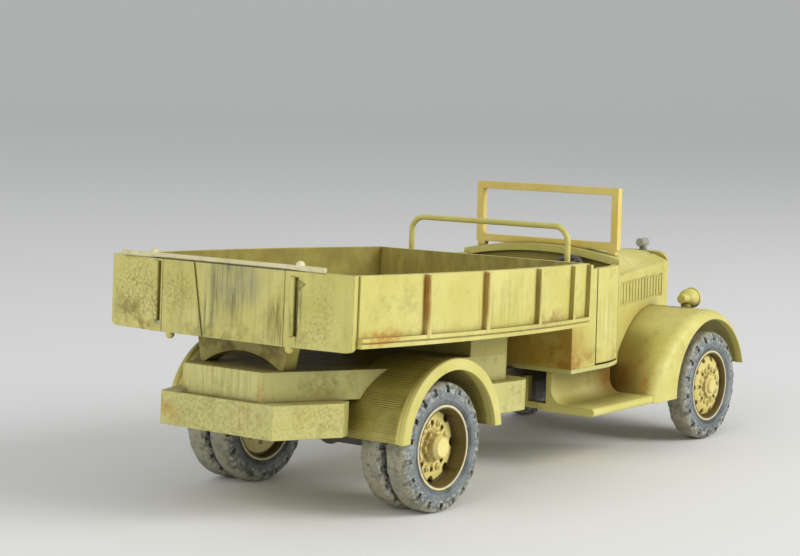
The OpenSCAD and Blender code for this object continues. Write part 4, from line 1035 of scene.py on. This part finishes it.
for joint in joints:
    bpy.ops.mesh.select_all(action="SELECT")
    bpy.ops.mesh.bisect(plane_co=(0, joint, 0), plane_no=(0, 1, 0))
print("floor cut into", plank_count, "planks and", row_count, "rows")

# %% [markdown]
# Now the joints get their grooves. They could be boxes cut out of the floor, but a bevel of the marked edges keeps the
# mesh clean. Then the floor is tilted. In a script transform.rotate turns the other way, hence the minus sign.

# %% Grooves


def on_joint(place, edge):
    """Edges on top of the floor that lie along a joint."""
    along = abs((edge.verts[1].co - edge.verts[0].co).normalized().x) > 0.99
    return along and place.z > (floor_top - 0.05) * MM and min(abs(place.y - joint) for joint in joints) < 0.01 * MM


pick(floor, "EDGE", on_joint)
bpy.ops.mesh.bevel(offset=groove_half, segments=2)
grooves = pick(floor, "EDGE", on_joint)
bpy.ops.transform.translate(value=(0, 0, -groove_depth))
bpy.ops.mesh.select_all(action="SELECT")
bpy.ops.transform.rotate(value=-tilt, orient_axis="Y", center_override=(rear_axle.x, 0, tilt_height * MM))
close_piece(floor, 20)
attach(floor, "truck")
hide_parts("bed_floor")
floor_ends = [[round(value / MM, 2) for value in corner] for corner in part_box("bed_floor")]
print("groove edges:", grooves, "solid floor:", floor_ends, "planks:",
      [[round(pick_end(vert.co[axis] for vert in floor.data.vertices) / MM, 2) for axis in range(3)]
       for pick_end in (min, max)])

# %% [markdown]
# ## The bench
#
# The bench across the cab is a hard moulded piece, with upholstery shown as upright pleats. It could be sculpted.
# Pleats are regular, so it is simpler to cut a block into strips with bisect planes, inset each strip's face by itself
# and raise it, and round everything with a bevel. The cushion and the backrest get the same treatment, on top and on
# the front.

# %% Bench helpers
pleat_count = 9
bench_half = 9.7


def bench_block(name, low, high):
    """A block between two corners, in millimetres from the rear axle."""
    low, high = from_rear_axle(*low), from_rear_axle(*high)
    bpy.ops.object.select_all(action="DESELECT")
    bpy.ops.mesh.primitive_cube_add(size=1, location=(low + high) / 2, scale=high - low)
    return new_piece(name, seat_paint)


def pleat(block, test):
    """Cuts a block into strips across the cab and pads the faces that pass a test."""
    for number in range(1, pleat_count):
        bpy.ops.mesh.select_all(action="SELECT")
        cut = (2 * number / pleat_count - 1) * bench_half * MM
        bpy.ops.mesh.bisect(plane_co=(0, cut, 0), plane_no=(0, 1, 0))
    padded = pick(block, "FACE", test)
    inset_steps((0.14, 0), (0.22, 0.16), (0.30, 0.05), use_individual=True)
    return padded


print("bench helpers ready")

# %% [markdown]
# Three blocks make the bench: a plain base with a sunk panel on its front, a pleated cushion on it, and a pleated
# backrest, whose upper edge leans back.

# %% Base, cushion and backrest
lean_back = 0.76 * MM
base = bench_block("bench_base", (26.8, -9.1, 10.45), (31.2, 9.1, 12.25))
open_piece(base)
pick(base, "FACE", lambda place, normal: normal.x > 0.9)
inset_steps((0.35, 0), (0.08, -0.18))
close_piece(base)
cushion = bench_block("bench_cushion", (26.8, -bench_half, 12.25), (31.6, bench_half, 13.7))
open_piece(cushion)
print("pleats on the cushion:", pleat(cushion, lambda place, normal: normal.z > 0.9 or normal.x > 0.9))
close_piece(cushion)
backrest = bench_block("bench_backrest", (26.8, -bench_half, 13.6), (28.6, bench_half, 19.5))
open_piece(backrest, "EDGE")
# the upper front edge
pick(backrest, "EDGE", lambda place, edge: place.z > backrest.data.vertices[0].co.z + 5 * MM
     and all(vert.co.x > rear_axle.x + 28 * MM for vert in edge.verts))
bpy.ops.transform.translate(value=(-lean_back, 0, 0))
print("pleats on the backrest:", pleat(backrest, lambda place, normal: normal.x > 0.8))
close_piece(backrest)

# %% [markdown]
# A bevel modifier rounds the edges of all three before they become one piece, which stands in for the plain solid.

# %% Bench in place


def apply_modifier(piece, kind, **settings):
    """Adds a modifier and applies it at once."""
    bpy.ops.object.select_all(action="DESELECT")
    bpy.context.view_layer.objects.active = piece
    piece.select_set(True)
    made = piece.modifiers.new(kind.lower(), kind)
    for setting, value in settings.items():
        setattr(made, setting, value)
    bpy.ops.object.modifier_apply(modifier=made.name)


for piece in (base, cushion, backrest):
    apply_modifier(piece, "BEVEL", width=0.10 * MM, segments=3, limit_method="ANGLE", angle_limit=math.radians(30))
bench = join_pieces("bench_pleated", [base, cushion, backrest])
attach(bench, "truck")
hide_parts("bench_seat")
print("bench:", len(bench.data.polygons), "faces")

# %% [markdown]
# ## The headlamps
#
# A lamp of this kind has a fluted glass. On so small a model it is usually painted a metal grey. The flutes could be
# ribs in the mesh, but they are only a few hundredths of a millimetre deep, so they are a sine across it, as a bump.

# %% Lamp glass finish
flute_width, flute_depth = 0.2 * MM, 0.02 * MM


def flutes(tree, place):
    """Upright ribs across the glass."""
    return calc(tree, "SINE", times(tree, axes(tree, place)["Y"], math.tau / flute_width)), flute_depth


glass_paint = paint_material("glass_paint", {
    "Paint": (168, 174, 172), "Faded": (190, 196, 192), "Stain": (120, 122, 110), "Rusting": 0.0,
    "Shading": 0.1}, extra_height=flutes)
print("glass:", glass_paint.name)

# %% [markdown]
# A pressed rim holds the domed glass. The rim starts as a short cylinder: its front is inset and raised for the round
# edge, then inset and pushed in for the seat. The glass is a cylinder whose front is inset in steps, each a little less
# raised than the one before, which makes a dome.

# %% One rim and one glass
lamp_radius, rim_proud, glass_radius = 1.1 * MM, 0.07 * MM, 0.97 * MM
bpy.ops.object.select_all(action="DESELECT")
bpy.ops.mesh.primitive_cylinder_add(vertices=40, radius=lamp_radius + rim_proud, depth=0.32 * MM,
                                    rotation=(0, math.pi / 2, 0))
rim = new_piece("lamp_rim", body_paint)
open_piece(rim)
pick(rim, "FACE", lambda place, normal: normal.x > 0.9)
inset_steps((0.06, 0.05), (0.10, 0.01), (0.03, -0.12))
close_piece(rim)
bpy.ops.object.select_all(action="DESELECT")
bpy.ops.mesh.primitive_cylinder_add(vertices=40, radius=glass_radius, depth=0.10 * MM, rotation=(0, math.pi / 2, 0))
glass = new_piece("lamp_glass", glass_paint)
open_piece(glass)
pick(glass, "FACE", lambda place, normal: normal.x > 0.9)
inset_steps((0.10, 0.08), (0.16, 0.07), (0.20, 0.05), (0.22, 0.02))
close_piece(glass, 60)
print("rim and glass:", len(rim.data.polygons), len(glass.data.polygons), "faces")

# %% [markdown]
# The lamp's own box gives its front and its middle, so the copies find their places by themselves. The rim is pushed a
# little onto the bowl and the glass stands a little proud of it.

# %% Lamps in place
rim_overlap, glass_proud = 0.10 * MM, 0.08 * MM
for hand in ("left", "right"):
    low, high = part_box("headlamp_" + hand)
    front = Vector((high.x, (low.y + high.y) / 2, high.z - lamp_radius))
    for source, shift, slot in ((rim, -rim_overlap, "sand_paint"), (glass, glass_proud, "steel_paint")):
        piece = copy_piece(source, source.name + "_" + hand, Matrix.Translation(front + Vector((shift, 0, 0))))
        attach(piece, "truck")
for piece in (rim, glass):
    bpy.data.objects.remove(piece)
print("lamps dressed")

# %% [markdown]
# ## The dials
#
# Two round recesses in the dashboard hold the dials. They could be discs with a drawn scale, but a raised rim and a
# raised pointer catch the light. A dial starts as a flat cylinder. Its face is inset twice, up for the rim and down for
# the scale, and poked into wedges. The wedges nearest to the pointer's angle are pulled out.

# %% Dials
dial_radius, dial_depth, pointer_height = 0.66 * MM, 0.16 * MM, 0.04 * MM
pointer_reach, pointer_half = 0.5 * MM, math.radians(4.5)
dials = []
for number, dial_y in enumerate((-3.59, -5.52)):
    dial_middle = from_rear_axle(37.12, dial_y, 19.5)
    pointer = math.radians(130 - 70 * number)
    bpy.ops.object.select_all(action="DESELECT")
    bpy.ops.mesh.primitive_cylinder_add(vertices=48, radius=dial_radius, depth=dial_depth,
                                        rotation=(0, -math.pi / 2, 0), location=dial_middle)
    dial = new_piece(f"dial_{number + 1}", chassis_paint)
    open_piece(dial)
    pick(dial, "FACE", lambda place, normal: normal.x < -0.9)
    inset_steps((0.05, 0.06), (0.06, 0), (0.02, -0.08))
    bpy.ops.mesh.poke()

    def on_pointer(place, normal):
        """The wedges of the scale that the pointer lies on."""
        across, up = place.y - dial_middle.y, place.z - dial_middle.z
        return (normal.x < -0.9 and math.hypot(across, up) < pointer_reach
                and abs(math.atan2(up, across) - pointer) < pointer_half)

    pick(dial, "FACE", on_pointer)
    bpy.ops.mesh.extrude_region_move(TRANSFORM_OT_translate={"value": (-pointer_height, 0, 0)})
    close_piece(dial)
    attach(dial, "truck")
    dials.append(dial.name)
print("dials:", dials)
